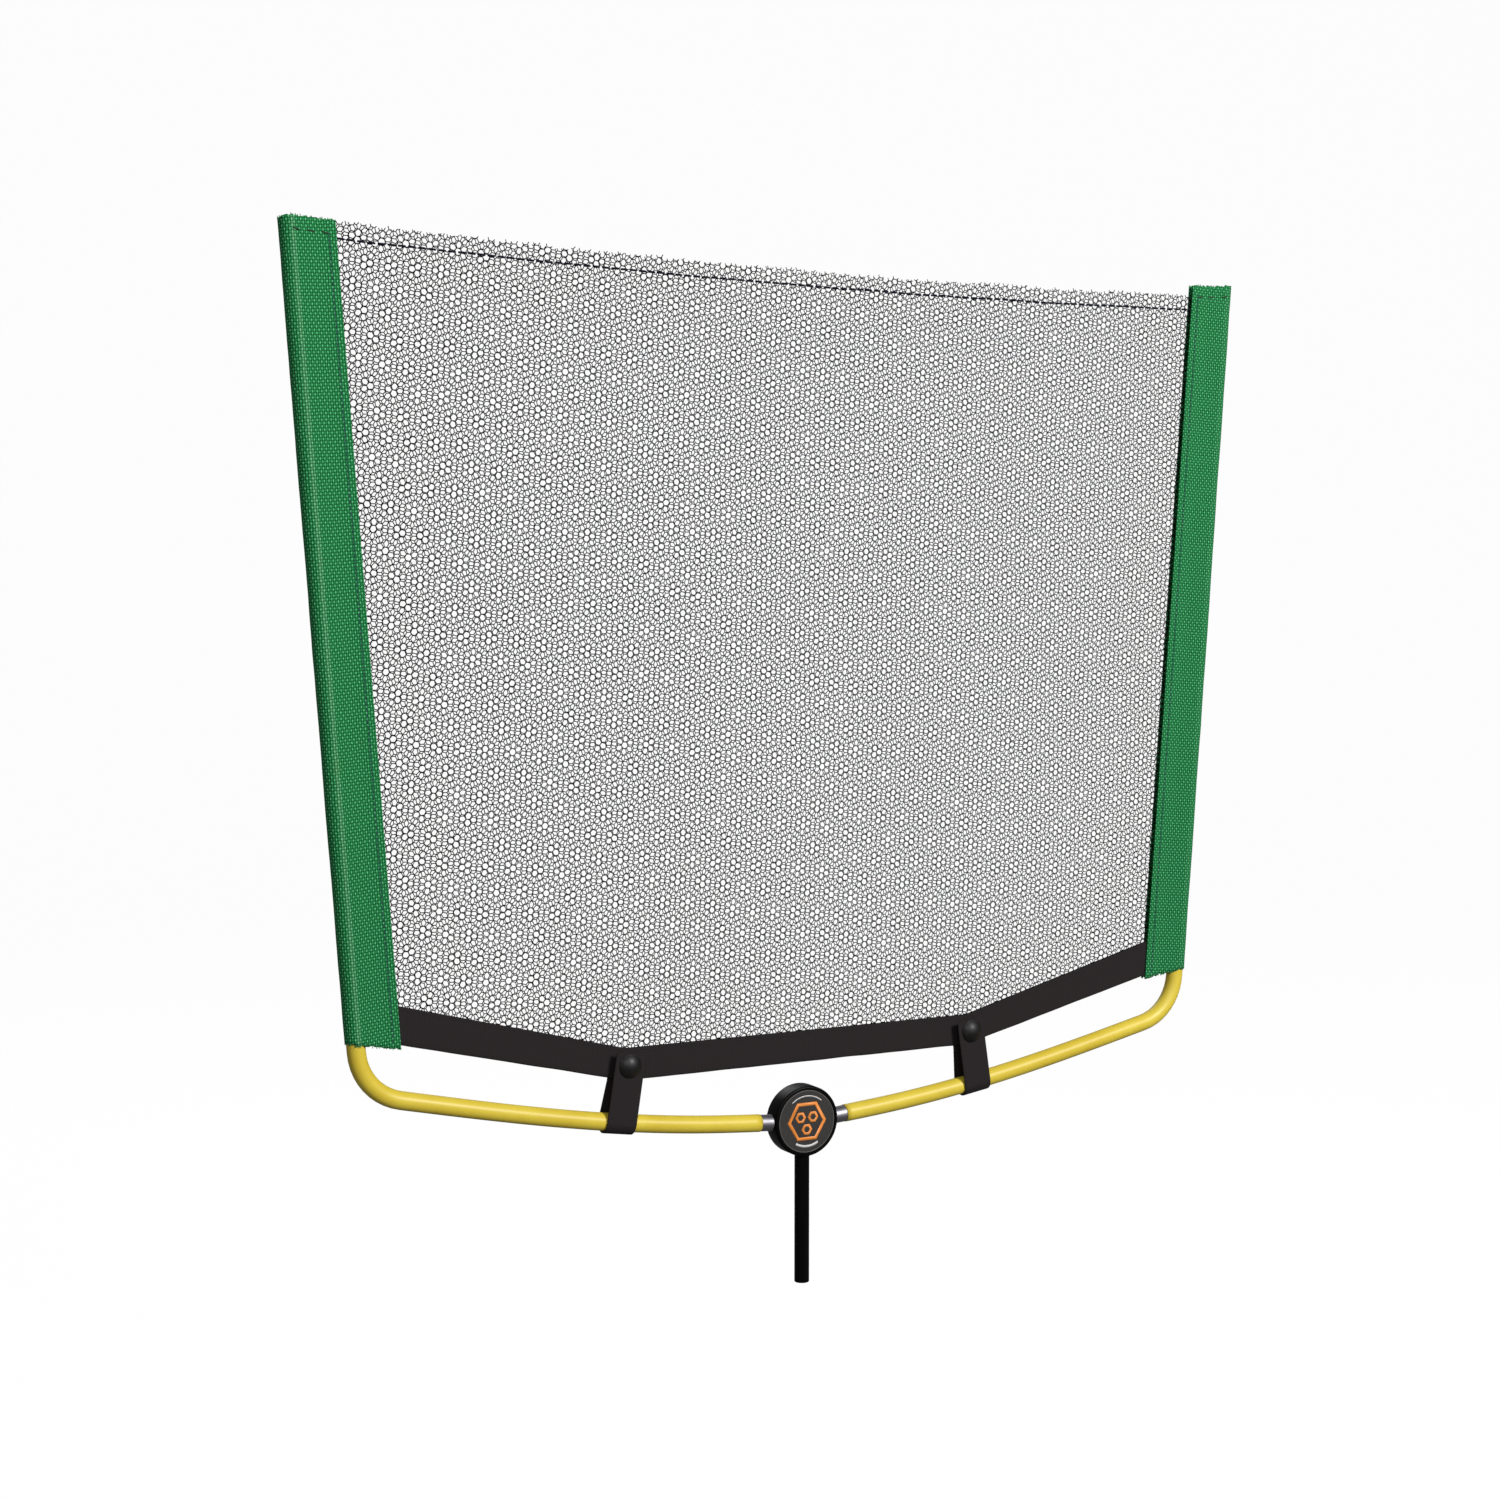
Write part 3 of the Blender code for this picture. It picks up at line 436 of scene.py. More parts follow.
def spun_thread(name, dark, light):
    """Twisted polyester sewing thread: matt, light and dark where its plies turn, every 0.8 mm."""
    made, tree = material(name)
    place = add(tree, "TexCoord").outputs["Object"]
    twist = add(tree, "TexNoise", {"Vector": place, "Scale": 1 / (0.8 * MM), "Detail": 2.0})
    share = add(tree, "MapRange", {0: twist, 1: 0.35, 2: 0.65, 3: 0.0, 4: 1.0})
    tone = add(tree, "Mix", {0: share, 6: srgb(dark), 7: srgb(light)}, data_type="RGBA")
    shader = add(tree, "BsdfPrincipled", {
        "Base Color": tone, "IOR": 1.5, "Roughness": 0.7, "Specular IOR Level": 0.2,
    })
    add(tree, "OutputMaterial", {"Surface": shader})
    return made


def net_yarn():
    """Warp-knitted polyester yarn, dyed black: matt, with four slanting loops to each 2.4 mm thread."""
    made, tree = material("net_yarn")
    thread = add(tree, "UVMap", uv_map="OFBake")
    along, around = add(tree, "SeparateXYZ", {0: thread}).outputs[:2]
    turns = add(tree, "Math", {0: around, 1: 3.0}, operation="MULTIPLY")
    slant = add(tree, "Math", {0: along, 1: 4.0, 2: turns}, operation="MULTIPLY_ADD")
    turns = add(tree, "Math", {0: slant, 1: math.pi}, operation="MULTIPLY")
    wave = add(tree, "Math", {0: turns}, operation="SINE")
    loops = add(tree, "Math", {0: wave}, operation="ABSOLUTE")
    tone = add(tree, "Mix", {0: loops, 6: srgb("060606"), 7: srgb("141414")}, data_type="RGBA")
    shader = add(tree, "BsdfPrincipled", {
        "Base Color": tone, "IOR": 1.5, "Roughness": 0.75, "Specular IOR Level": 0.1,
    })
    add(tree, "OutputMaterial", {"Surface": shader})
    return made


def lacquered_brass(name, lacquer, gloss, coat):
    """Pressed brass under a black lacquer: smooth, with dust near 4 mm across that dulls it.

    gloss is the clean surface's roughness.
    """
    made, tree = material(name)
    place = add(tree, "TexCoord").outputs["Object"]
    dust = add(tree, "TexNoise", {"Vector": place, "Scale": 1 / (3.8 * MM), "Detail": 5.0})
    share = add(tree, "MapRange", {0: dust, 1: 0.62, 2: 0.8, 3: 0.0, 4: 0.2})
    tone = add(tree, "Mix", {0: share, 6: srgb(lacquer), 7: srgb("55524f")}, data_type="RGBA")
    dulled = add(tree, "MapRange", {0: dust, 1: 0.4, 2: 0.75, 3: gloss, 4: gloss + 0.08})
    shader = add(tree, "BsdfPrincipled", {
        "Base Color": tone, "IOR": 1.5, "Roughness": dulled, "Coat Weight": coat,
        "Coat Roughness": 0.2,
    })
    add(tree, "OutputMaterial", {"Surface": shader})
    return made


def moulded_nylon():
    """Injection-moulded black nylon: satin, with a spark-eroded grain near 0.6 mm."""
    made, tree = material("moulded_nylon")
    place = add(tree, "TexCoord").outputs["Object"]
    pits = add(tree, "TexNoise", {"Vector": place, "Scale": 1 / (0.55 * MM), "Detail": 3.0})
    tone = add(tree, "Mix", {0: pits, 6: srgb("141414"), 7: srgb("1f1f1f")}, data_type="RGBA")
    relief = add(tree, "Bump", {"Height": pits, "Distance": 0.02 * MM})
    shader = add(tree, "BsdfPrincipled", {
        "Base Color": tone, "IOR": 1.53, "Roughness": 0.5, "Normal": relief,
    })
    add(tree, "OutputMaterial", {"Surface": shader})
    return made


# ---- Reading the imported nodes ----

def corners_of(node):
    """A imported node's distinct vertices."""
    mesh = frame["nodes"][node].data
    points = np.zeros(len(mesh.vertices) * 3)
    mesh.vertices.foreach_get("co", points)
    return np.unique(points.reshape(-1, 3).round(6), axis=0)


def spine(node):
    """Centres of a bent tube's rings: their front-most corners, from the middle outwards and up."""
    points = corners_of(node)
    front = points[points[:, 1] < points[:, 1].min() + 0.02 * MM]
    front = front[np.argsort(np.abs(front[:, 0]))]
    kept = [front[0]]
    for point in front[1:]:
        if np.linalg.norm(point - kept[-1]) > 0.5 * MM:
            kept.append(point)
    middle = points[:, 1].mean()
    return [Vector((x, middle, z)) for x, _, z in kept]


def smooth_path(points, spacing):
    """Catmull-Rom curve through the points, sampled about every spacing."""
    ends = [2 * points[0] - points[1]] + points + [2 * points[-1] - points[-2]]
    path = []
    for i in range(1, len(ends) - 2):
        a, b, c, d = ends[i - 1:i + 3]
        count = max(1, round((c - b).length / spacing))
        for k in range(count):
            t = k / count
            bend = (2 * a - 5 * b + 4 * c - d) * t ** 2 + (3 * b - a - 3 * c + d) * t ** 3
            path.append(0.5 * (2 * b + (c - a) * t + bend))
    return path + [points[-1]]


def heading(path, i):
    """A path's direction at one of its points, from the point before it to the point after."""
    return (path[min(i + 1, len(path) - 1)] - path[max(i - 1, 0)]).normalized()


def runs_along(path):
    """The distance along a path to each of its points."""
    return np.cumsum([0.0] + [(b - a).length for a, b in zip(path, path[1:])])


def arc(radius, start, stop, count):
    """Points of an arc about the origin, both ends included, from angles in radians."""
    return [(radius * math.cos(t), radius * math.sin(t)) for t in np.linspace(start, stop, count)]


class Pole:
    """The frame of one upright: along it, inward from it, and y."""

    def __init__(self, side):
        points = corners_of(side + "_upright_tube")
        low = points[points[:, 2] < points[:, 2].min() + 2 * MM].mean(0)
        high = points[points[:, 2] > points[:, 2].max() - 2 * MM].mean(0)
        self.base = Vector(low)
        self.up = (Vector(high) - self.base).normalized()
        self.inward = Vector((math.copysign(self.up.z, -low[0]), 0, abs(self.up.x)))

    def at(self, along, inward, y):
        return self.base + self.up * along + self.inward * inward + Vector((0, y, 0))

    def read(self, node):
        """A node's corners as (along, inward, y)."""
        offset = corners_of(node) - np.array(self.base)
        return np.column_stack([offset @ np.array(self.up), offset @ np.array(self.inward), offset[:, 1]])


# ---- Making meshes ----

def shown(name, mesh, look, sharp=None):
    """Puts a mesh in the scene, smooth all over but for edges past a sharp angle in degrees."""
    mesh.shade_smooth()
    if sharp:
        mesh.set_sharp_from_angle(angle=math.radians(sharp))
    mesh.materials.append(look)
    made = bpy.data.objects.new(name, mesh)
    bpy.context.scene.collection.objects.link(made)
    return made


def mesh_object(name, points, faces, look, uv=None):
    mesh = bpy.data.meshes.new(name)
    mesh.from_pydata([tuple(p) for p in points], [], faces)
    if uv is not None:
        layer = mesh.uv_layers.new(name="cloth")
        index = np.zeros(len(mesh.loops), int)
        mesh.loops.foreach_get("vertex_index", index)
        layer.uv.foreach_set("vector", np.asarray(uv, float)[index].ravel())
    return shown(name, mesh, look, sharp=40)


def fasten(piece, body, slot, *nodes):
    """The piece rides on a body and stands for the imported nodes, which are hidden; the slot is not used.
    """
    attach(piece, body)
    if nodes:
        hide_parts(*nodes)
    return piece


def grid_faces(rows, columns, closed=False):
    """Quads of a grid whose vertices run along each row; closed joins each row's ends."""
    faces = []
    for r in range(rows - 1):
        for c in range(columns if closed else columns - 1):
            d = (c + 1) % columns
            faces.append((r * columns + c, r * columns + d, (r + 1) * columns + d, (r + 1) * columns + c))
    return faces


def tube_faces(rings, sides, ends=True):
    """Faces of a tube from its rings, its ends closed unless it is to be hollow."""
    faces = grid_faces(rings, sides, closed=True)
    if ends:
        last = (rings - 1) * sides
        faces.append(tuple(reversed(range(sides))))
        faces.append(tuple(range(last, last + sides)))
    return faces


def solidify(piece, thickness, offset=0.0):
    wall = piece.modifiers.new("wall", "SOLIDIFY")
    wall.thickness = thickness
    wall.offset = offset
    return piece


def swept(name, path, radius, look, sides=10, ends=True):
    """A round thread or tube along a path."""
    points = []
    uv = []
    normal = Vector((0, 1, 0))
    for i, (place, run) in enumerate(zip(path, runs_along(path))):
        ahead = heading(path, i)
        normal = (normal - ahead * normal.dot(ahead)).normalized()
        side = ahead.cross(normal)
        for k in range(sides):
            turn = 2 * math.pi * k / sides
            points.append(place + radius * (math.cos(turn) * normal + math.sin(turn) * side))
            uv.append((radius * turn, run))
    return mesh_object(name, points, tube_faces(len(path), sides, ends), look, uv)


def turned(name, profile, place, direction, look, steps=48):
    """A turned solid from (radius, height) points, first and last on the axis or joined as a ring."""
    matrix = Matrix.Translation(place) @ Vector(direction).to_track_quat("Z", "Y").to_matrix().to_4x4()
    shape = bmesh.new()
    line = [shape.verts.new((radius, 0, height)) for radius, height in profile]
    edges = [shape.edges.new(pair) for pair in zip(line, line[1:])]
    if profile[0][0] > 0:
        edges.append(shape.edges.new((line[-1], line[0])))
    bmesh.ops.spin(
        shape, geom=line + edges, axis=(0, 0, 1), cent=(0, 0, 0), angle=2 * math.pi, steps=steps,
        use_merge=True,
    )
    bmesh.ops.remove_doubles(shape, verts=shape.verts, dist=0.001 * MM)
    bmesh.ops.recalc_face_normals(shape, faces=shape.faces)
    bmesh.ops.transform(shape, matrix=matrix, verts=shape.verts)
    mesh = bpy.data.meshes.new(name)
    shape.to_mesh(mesh)
    shape.free()
    return shown(name, mesh, look, sharp=40)


def smoothed(node, body, slot, look):
    """A packed rigid node with its facets welded and shaded round."""
    shape = bmesh.new()
    shape.from_mesh(frame["nodes"][node].data)
    bmesh.ops.remove_doubles(shape, verts=shape.verts, dist=0.005 * MM)
    bmesh.ops.dissolve_limit(shape, angle_limit=math.radians(0.5), verts=shape.verts, edges=shape.edges)
    mesh = bpy.data.meshes.new(node + "_finished")
    shape.to_mesh(mesh)
    shape.free()
    mesh.materials.clear()
    return fasten(shown(mesh.name, mesh, look, sharp=35), body, slot, node)


# ---- Hub, pin and frame ----

def make_hub(looks):
    low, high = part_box("hub_badge")
    middle = (low + high) / 2
    radius = (high.x - low.x) / 2
    make_hub_body(looks, middle, radius + GAP, -high.y - GAP)
    half = (high.y - low.y) / 2
    shoulder = radius - BADGE_EDGE
    profile = [(0, half), (shoulder, half), (radius, half - BADGE_EDGE), (radius, -half), (0, -half)]
    badge = turned("badge_disc", profile, middle, (0, -1, 0), looks["badge"], steps=ROUND_STEPS)
    fasten(badge, ROOT, "badge", "hub_badge")
    front = low.y - INK / 2
    rim = [radius - inset for inset in RIM_LINE_INSET]
    print_ring("badge_rim_line", middle, front, rim, ROUND_STEPS, looks["grey_ink"])
    print_ring("badge_cell_line", middle, front, CELL_LINE, 6, looks["orange_ink"])
    for i in range(3):
        turn = 2 * math.pi * (i + 0.25) / 3
        spot = middle + SMALL_CELL_PLACE * Vector((math.cos(turn), 0, math.sin(turn)))
        print_ring(f"badge_cell_{i}", spot, front, SMALL_CELL, 6, looks["orange_ink"])
    print_ring("badge_top_line", middle, front, TOP_LINE, ROUND_STEPS, looks["pale_ink"], 50, 130)
    print_ring("badge_low_line", middle, front, LOW_LINE, ROUND_STEPS, looks["pale_ink"], 240, 300)


def rounded(middle, edge, start):
    """Quarter circle of (radius, height) points about its middle, clockwise from an angle."""
    return [(middle[0] + a, middle[1] + b) for a, b in arc(edge, start, start - math.pi / 2, 6)]


def make_hub_body(looks, middle, recess, floor):
    low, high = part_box("hub_body")
    radius = (high.x - low.x) / 2
    half = (high.y - low.y) / 2
    profile = [(0, floor), (recess, floor), (recess, half - BEZEL_EDGE), (recess + BEZEL_EDGE, half)]
    profile += rounded((radius - HUB_EDGE, half - HUB_EDGE), HUB_EDGE, math.pi / 2)
    profile += rounded((radius - HUB_EDGE, HUB_EDGE - half), HUB_EDGE, 0)
    profile.append((0, -half))
    place = Vector((middle.x, 0, middle.z))
    hub = turned("hub_disc", profile, place, (0, -1, 0), looks["anodised"], steps=128)
    fasten(hub, ROOT, "black_metal", "hub_body")


def print_ring(name, middle, front, radii, sides, look, start=0, stop=360):
    """A flat printed outline or arc, round or six-sided, just proud of the badge. Angles in degrees."""
    whole = stop - start == 360
    count = sides if whole else sides + 1
    points = []
    for radius in radii:
        for k in range(count):
            turn = math.radians(start + (stop - start) * k / sides)
            points.append((middle.x + radius * math.cos(turn), front, middle.z + radius * math.sin(turn)))
    piece = mesh_object(name, points, grid_faces(2, count, closed=whole), look)
    solidify(piece, INK)
    fasten(piece, ROOT, "badge")


def make_pin(looks):
    low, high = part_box("mounting_pin")
    radius = (high.x - low.x) / 2
    corner = rounded((radius - PIN_EDGE, PIN_EDGE), PIN_EDGE, 0)
    profile = [(0, high.z), (radius, high.z)] + corner + [(0, 0)]
    pin = turned("pin_bar", profile, (0, 0, 0), (0, 0, 1), looks["oxide"], steps=40)
    fasten(pin, ROOT, "black_metal", "mounting_pin")
    smoothed("cross_pin", ROOT, "bare_metal", looks["aluminium"])


def make_frame(looks):
    for side in SIDES:
        arm = side + "_arm_tube"
        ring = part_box(arm)
        radius = (ring[1].y - ring[0].y) / 2
        path = smooth_path(spine(arm), 4 * MM)
        tube = swept(side + "_bowed_arm", path, radius, looks["enamel"], sides=40, ends=False)
        solidify(tube, TUBE_WALL, -1.0)
        fasten(tube, ROOT, "yellow_paint", arm)
        smoothed(side + "_upright_tube", ROOT, "yellow_paint", looks["enamel"])
        smoothed(side + "_arm_ferrule", ROOT, "bare_metal", looks["aluminium"])
        smoothed(side + "_joint_ferrule", ROOT, "bare_metal", looks["aluminium"])
        smoothed(side + "_upright_tip", ROOT, "black_plastic", looks["nylon"])
    smoothed("shock_cord", ROOT, "cord", looks["cord_braid"])


# ---- Sleeves ----

class Sleeve:
    """One fabric sleeve: a length of cloth folded round the upright, its lips turned in."""

    def __init__(self, side):
        self.side = side
        self.pole = Pole(side)
        along, inward, y = self.pole.read(side + "_sleeve").T
        self.width = inward.max()
        self.outer = inward.min()
        lip = inward > self.width - 0.1 * MM
        back = inward < self.outer + 0.1 * MM
        self.low = (along[back].min(), along[lip].min())
        shorter = TOP_CUT[side]
        self.high = (along[back].max() - shorter, along[lip].max() - shorter)
        self.line = self.profile(-self.outer - CLOTH / 2)
        self.run = runs_along(self.line)

    def profile(self, radius):
        """(inward, y) points of the cloth's middle, from one turned-in lip round to the other."""
        fold = (LIP_OUTER - LIP_INNER) / 2
        level = (LIP_INNER + LIP_OUTER) / 2
        half = [Vector((self.width - LIP_TURN_IN, LIP_INNER)), Vector((self.width - fold, LIP_INNER))]
        for a, b in arc(fold, -math.pi / 3, math.pi / 2, 6):
            half.append(Vector((self.width - fold + a, level + b)))
        half.append(Vector((TAPER_END, LIP_OUTER)))
        half.append(Vector((TAPER_END - TAPER_EASE, LIP_OUTER + TAPER_RISE)))
        half += [Vector(point) for point in arc(radius, POLE_LEAVE, math.pi, 14)]
        front = [Vector((p.x, -p.y)) for p in half]
        return front + list(reversed(half[:-1]))

    def ends(self, inward):
        """Along the pole, the cloth's bottom and top at a distance inward."""
        share = (inward - self.outer) / (self.width - self.outer)
        low, high = (a + (b - a) * share for a, b in (self.low, self.high))
        corner = max(0.0, 1 - (inward - self.outer) / TOP_ROUNDING_REACH)
        return low, high - TOP_ROUNDING * corner ** 2

    def across(self, run):
        """(inward, y) at a distance along the profile."""
        i = min(max(int(np.searchsorted(self.run, run)), 1), len(self.line) - 1)
        share = (run - self.run[i - 1]) / (self.run[i] - self.run[i - 1])
        return self.line[i - 1].lerp(self.line[i], share)

    def outward(self, run):
        """The way out of the cloth's face at a distance along the profile."""
        step = 0.3 * MM
        a = self.across(max(0.0, run - step))
        b = self.across(min(self.run[-1], run + step))
        along = (b - a).normalized()
        return Vector((-along.y, along.x))

    def slack(self, run, along):
        """How far the cloth stands off its plain shape: soft waves, none where it is sewn or turned in."""
        sewn = min(run, self.run[-1] - run) / (LIP_TURN_IN + 3 * MM)
        ease = max(0.0, min(1.0, sewn - 1.0))
        place = Vector((run * 40, along * 22, 7.0 if self.side == "left" else 31.0))
        fine = Vector((run * 130, along * 90, 3.0))
        return ease * (SLACK_WAVE * noise.noise(place) + SLACK_RIPPLE * noise.noise(fine))

    def point(self, run, along, lift=0.0):
        """A place on the cloth's middle, or lifted off it."""
        spot = self.across(run)
        spot = spot + self.outward(run) * (lift + self.slack(run, along))
        return self.pole.at(along, spot.x, spot.y)

    def ridge(self):
        """Distance along the profile to the front of the pole."""
        return float(min(np.linspace(0, self.run[-1] / 2, 600), key=lambda run: self.across(run).y))

    def run_at(self, inward):
        """Distance along the profile where the front face passes a place inward of the pole."""
        runs = np.linspace(LIP_TURN_IN + 1.5 * MM, self.run[-1] / 2, 400)
        return min(runs, key=lambda r: abs(self.across(r).x - inward))


def make_sleeve(side, looks):
    sleeve = Sleeve(side)
    random.seed(11 if side == "left" else 12)
    total = sleeve.run[-1]
    columns = round(total / (END_PITCH / 2)) + 1
    rows = round((sleeve.high[0] - sleeve.low[0]) / ROW_PITCH) + 1
    threads = [(random.uniform(-1, 0.35), random.uniform(-0.35, 1)) for _ in range(columns // 2 + 2)]
    points = []
    uv = []
    for r in range(rows):
        share = r / (rows - 1)
        for c in range(columns):
            run = total * c / (columns - 1)
            low, high = sleeve.ends(sleeve.across(run).x)
            loose_low, loose_high = threads[c // 2]
            along = low + (high - low) * share
            if r == 0:
                along += FRAY * loose_low
            if r == rows - 1:
                along += FRAY * loose_high
            points.append(sleeve.point(run, along))
            uv.append((run, along))
    faces = grid_faces(rows, columns)
    cloth = mesh_object(side + "_sleeve_cloth", points, faces, looks[side + "_duck"], uv)
    solidify(cloth, CLOTH)
    fasten(cloth, ROOT, "green_fabric", side + "_sleeve")
    stitches = [top_stitches(sleeve, looks), edge_stitches(sleeve, looks)]
    stitches.append(frayed_threads(sleeve, looks))


def joined(name, pieces):
    """Several meshes of one finish made into one piece."""
    first = pieces[0]
    chosen = {"active_object": first, "selected_editable_objects": pieces, "selected_objects": pieces}
    with bpy.context.temp_override(**chosen):
        bpy.ops.object.join()
    first.name = name
    first.data.name = name
    return first


def stitch(sleeve, marks, radius, look):
    """One thread on a sleeve, from (run, along, lift) places."""
    return swept("stitch", [sleeve.point(*mark) for mark in marks], radius, look, sides=6)


def top_stitches(sleeve, looks):
    """A row of long hand stitches that closes the sleeve's top, front and back."""
    made = []
    for start in (0, CLOSING_PITCH, 2 * CLOSING_PITCH):
        for back in (False, True):
            marks = []
            for share in np.linspace(0, 1, 7):
                inward = start + CLOSING_STITCH * share
                run = sleeve.run_at(inward)
                run = sleeve.run[-1] - run if back else run
                top = sleeve.ends(inward)[1]
                lift = CLOTH / 2 + CLOSING_THREAD * (1.2 * math.sin(math.pi * share) - 0.5)
                marks.append((run, top - CLOSING_DROP - CLOSING_SLANT * share, lift))
            made.append(stitch(sleeve, marks, CLOSING_THREAD, looks["brown_thread"]))
    piece = joined(sleeve.side + "_sleeve_top_stitches", made)
    return fasten(piece, ROOT, "green_fabric")


def edge_stitches(sleeve, looks):
    """The row that holds the turned-in lips and the net, near the sleeve's inner edge."""
    low, high = sleeve.ends(sleeve.width)
    made = []
    for back in (False, True):
        run = sleeve.run_at(sleeve.width - LIP_STITCH_INSET)
        run = sleeve.run[-1] - run if back else run
        for i in range(int((high - low - 8 * MM) / LIP_STITCH_PITCH)):
            start = low + 4 * MM + i * LIP_STITCH_PITCH
            sway = 0.25 * MM * noise.noise(Vector((i * 0.7, 5.0, 1.0)))
            marks = []
            for share in np.linspace(0, 1, 5):
                lift = CLOTH / 2 + LIP_THREAD * (1.3 * math.sin(math.pi * share) - 0.6)
                marks.append((run + sway, start + LIP_STITCH * share, lift))
            made.append(stitch(sleeve, marks, LIP_THREAD, looks["slate_thread"]))
    piece = joined(sleeve.side + "_sleeve_edge_stitches", made)
    return fasten(piece, ROOT, "green_fabric")


def frayed_threads(sleeve, looks):
    """Loose thread ends that stand out of the raw top and bottom edges."""
    random.seed(21 if sleeve.side == "left" else 22)
    made = []
    total = sleeve.run[-1]
    for k in range(int(total / END_PITCH)):
        for end in (0, 1):
            if random.random() < 0.35:
                continue
            run = (k + 0.5) * END_PITCH
            edge = sleeve.ends(sleeve.across(run).x)[end]
            sign = 1 if end else -1
            reach = random.uniform(0.4, 1.3) * MM
            lean = random.uniform(-0.6, 0.6) * MM
            lift = random.uniform(-0.2, 0.5) * MM
            marks = []
            for t in (0, 0.4, 0.7, 1):
                across = min(max(run + lean * t * t, 0.0), total)
                marks.append((across, edge + sign * (reach * t - LOOSE_ROOT * (1 - t)), lift * t))
            made.append(stitch(sleeve, marks, LOOSE_THREAD, looks["duck_thread"]))
    piece = joined(sleeve.side + "_sleeve_loose_threads", made)
    return fasten(piece, ROOT, "green_fabric")


# ---- Net ----

class NetOutline:
    """Where the net lies: its sides in the sleeves, its bottom in the hem and its slack top edge."""

    def __init__(self):
        points = corners_of("net_front")
        points = points[np.argsort(points[:, 0])]
        top = points[points[:, 2] > points[:, 2].max() - 12 * MM]
        low = points[points[:, 2] < points[:, 2].max() - 100 * MM]
        kinks = low[low[:, 2] < low[:, 2].min() + 0.05 * MM]
        bottom = np.vstack([low[:1], kinks[:1], kinks[-1:], low[-1:]])
        self.top_line = top[:, 0], top[:, 2]
        self.bottom_line = bottom[:, 0], bottom[:, 2]
        self.side_line = [low[-1, 2], top[-1, 2]], [low[-1, 0], top[-1, 0]]
        self.flat = float(2 * top[-1, 0]), float(top[:, 2].max() - bottom[:, 2].min())
        self.middle = np.array([0.0, (top[:, 2].max() + bottom[:, 2].min()) / 2])

    def top(self, x):
        """The raw top edge, which was cut a little out of level."""
        return np.interp(x, *self.top_line) - NET_TOP_TILT * (x + 0.2)

    def contains(self, points):
        x, z = points.T
        inside = np.abs(x) < np.interp(z, *self.side_line)
        return inside & (z < self.top(x)) & (z > np.interp(x, *self.bottom_line))


def slow_waves(x, z, seed):
    """Waves over the whole net, 9 to 18 cm long, from -1 to 1."""
    first = np.sin(x * 31 + z * 17 + seed)
    second = np.sin(x * -23 + z * 41 + 2.3 * seed)
    third = np.sin(x * 67 + z * 9 + 4.1 * seed)
    return (first + second + third) / 3


def hexagon_threads(outline, turn, seed):
    """Knots of a six-sided net, as (x, z), and the threads that are wholly or partly in the outline.

    Knots come in two kinds, with threads at 0, 120 and 240 degrees or opposite. A thread is the
    numbers of its two knots and which of the three ways it runs.
    """
    side = NET_PITCH / math.sqrt(3)
    count = int(LATTICE_REACH / side)
    i, j = np.meshgrid(np.arange(-count, count), np.arange(-count, count), indexing="ij")
    cells = np.stack([1.5 * side * i, NET_PITCH * (j - i // 2 + i / 2)], -1)
    shift = np.array([side, 0.0])
    turned_by = np.array([[math.cos(turn), math.sin(turn)], [-math.sin(turn), math.cos(turn)]])
    knots = np.stack([cells + shift, cells - shift], 2) @ turned_by + outline.middle
    x, z = knots[..., 0], knots[..., 1]
    knots = knots + NET_DRIFT * np.stack([slow_waves(x, z, seed), slow_waves(x, z, seed + 5)], -1)
    knots = knots.reshape(-1, 2)
    inside = outline.contains(knots)
    columns = np.arange(2, 2 * count - 2)
    rows = np.arange(2, 2 * count - 2)
    c, r = (part.ravel() for part in np.meshgrid(columns, rows, indexing="ij"))
    threads = []
    for way, (across, up) in enumerate(((2, -1), (1, 0), (1, -1))):
        # rows are counted from a level line, so the far cell's row allows for the lattice's slope
        far_row = r + up + (c + across - count) // 2 - (c - count) // 2
        near = 2 * (c * 2 * count + r)
        far = 2 * ((c + across) * 2 * count + far_row) + 1
        threads.append(np.stack([near, far, np.full(len(c), way)], 1))
    threads = np.vstack(threads)
    return knots, inside, threads[inside[threads[:, 0]] | inside[threads[:, 1]]]


def make_net_layer(node, outline, turn, seed, look):
    """One layer, in three meshes: its threads are three-sided bars that meet at the knots."""
    knots, inside, threads = hexagon_threads(outline, turn, seed)
    kinds = np.tile([0, 1], len(knots) // 2)
    # a thread that leaves the outline is cut off at a knot of its own
    chance = np.random.default_rng(seed)
    cut = np.flatnonzero(inside[threads[:, 0]] != inside[threads[:, 1]])
    end = np.where(inside[threads[cut, 0]], 1, 0)
    kept, lost = threads[cut, 1 - end], threads[cut, end]
    share = chance.uniform(0.35, 0.95, len(cut))[:, None]
    knots = np.vstack([knots, knots[kept] * (1 - share) + knots[lost] * share])
    kinds = np.concatenate([kinds, end])
    threads[cut, end] = len(inside) + np.arange(len(cut))
    low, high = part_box(node)
    depth = (low.y + high.y) / 2
    x, z = knots.T
    rows = [np.stack([x, np.full(len(x), depth - NET_DEPTH / 2), z], 1)]
    for corner in range(3):
        angle = turn + math.pi * (1 + 2 * corner) / 3 + math.pi * kinds
        reach = NET_THREAD / math.sqrt(3)
        place = x + reach * np.cos(angle), np.full(len(x), depth + NET_DEPTH / 2), z + reach * np.sin(angle)
        rows.append(np.stack(place, 1))
    points = np.stack(rows, 1).reshape(-1, 3)
    share = np.clip(x[threads[:, 0]] / outline.flat[0] + 0.5, 0, 0.999)
    pieces = []
    for i, part in enumerate(("left", "middle", "right")):
        chosen = threads[(share * 3).astype(int) == i]
        pieces.append(net_piece(f"{node}_{part}", points, chosen, len(inside), look))
        fasten(pieces[-1], ROOT, "net")
    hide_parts(node)
    return pieces


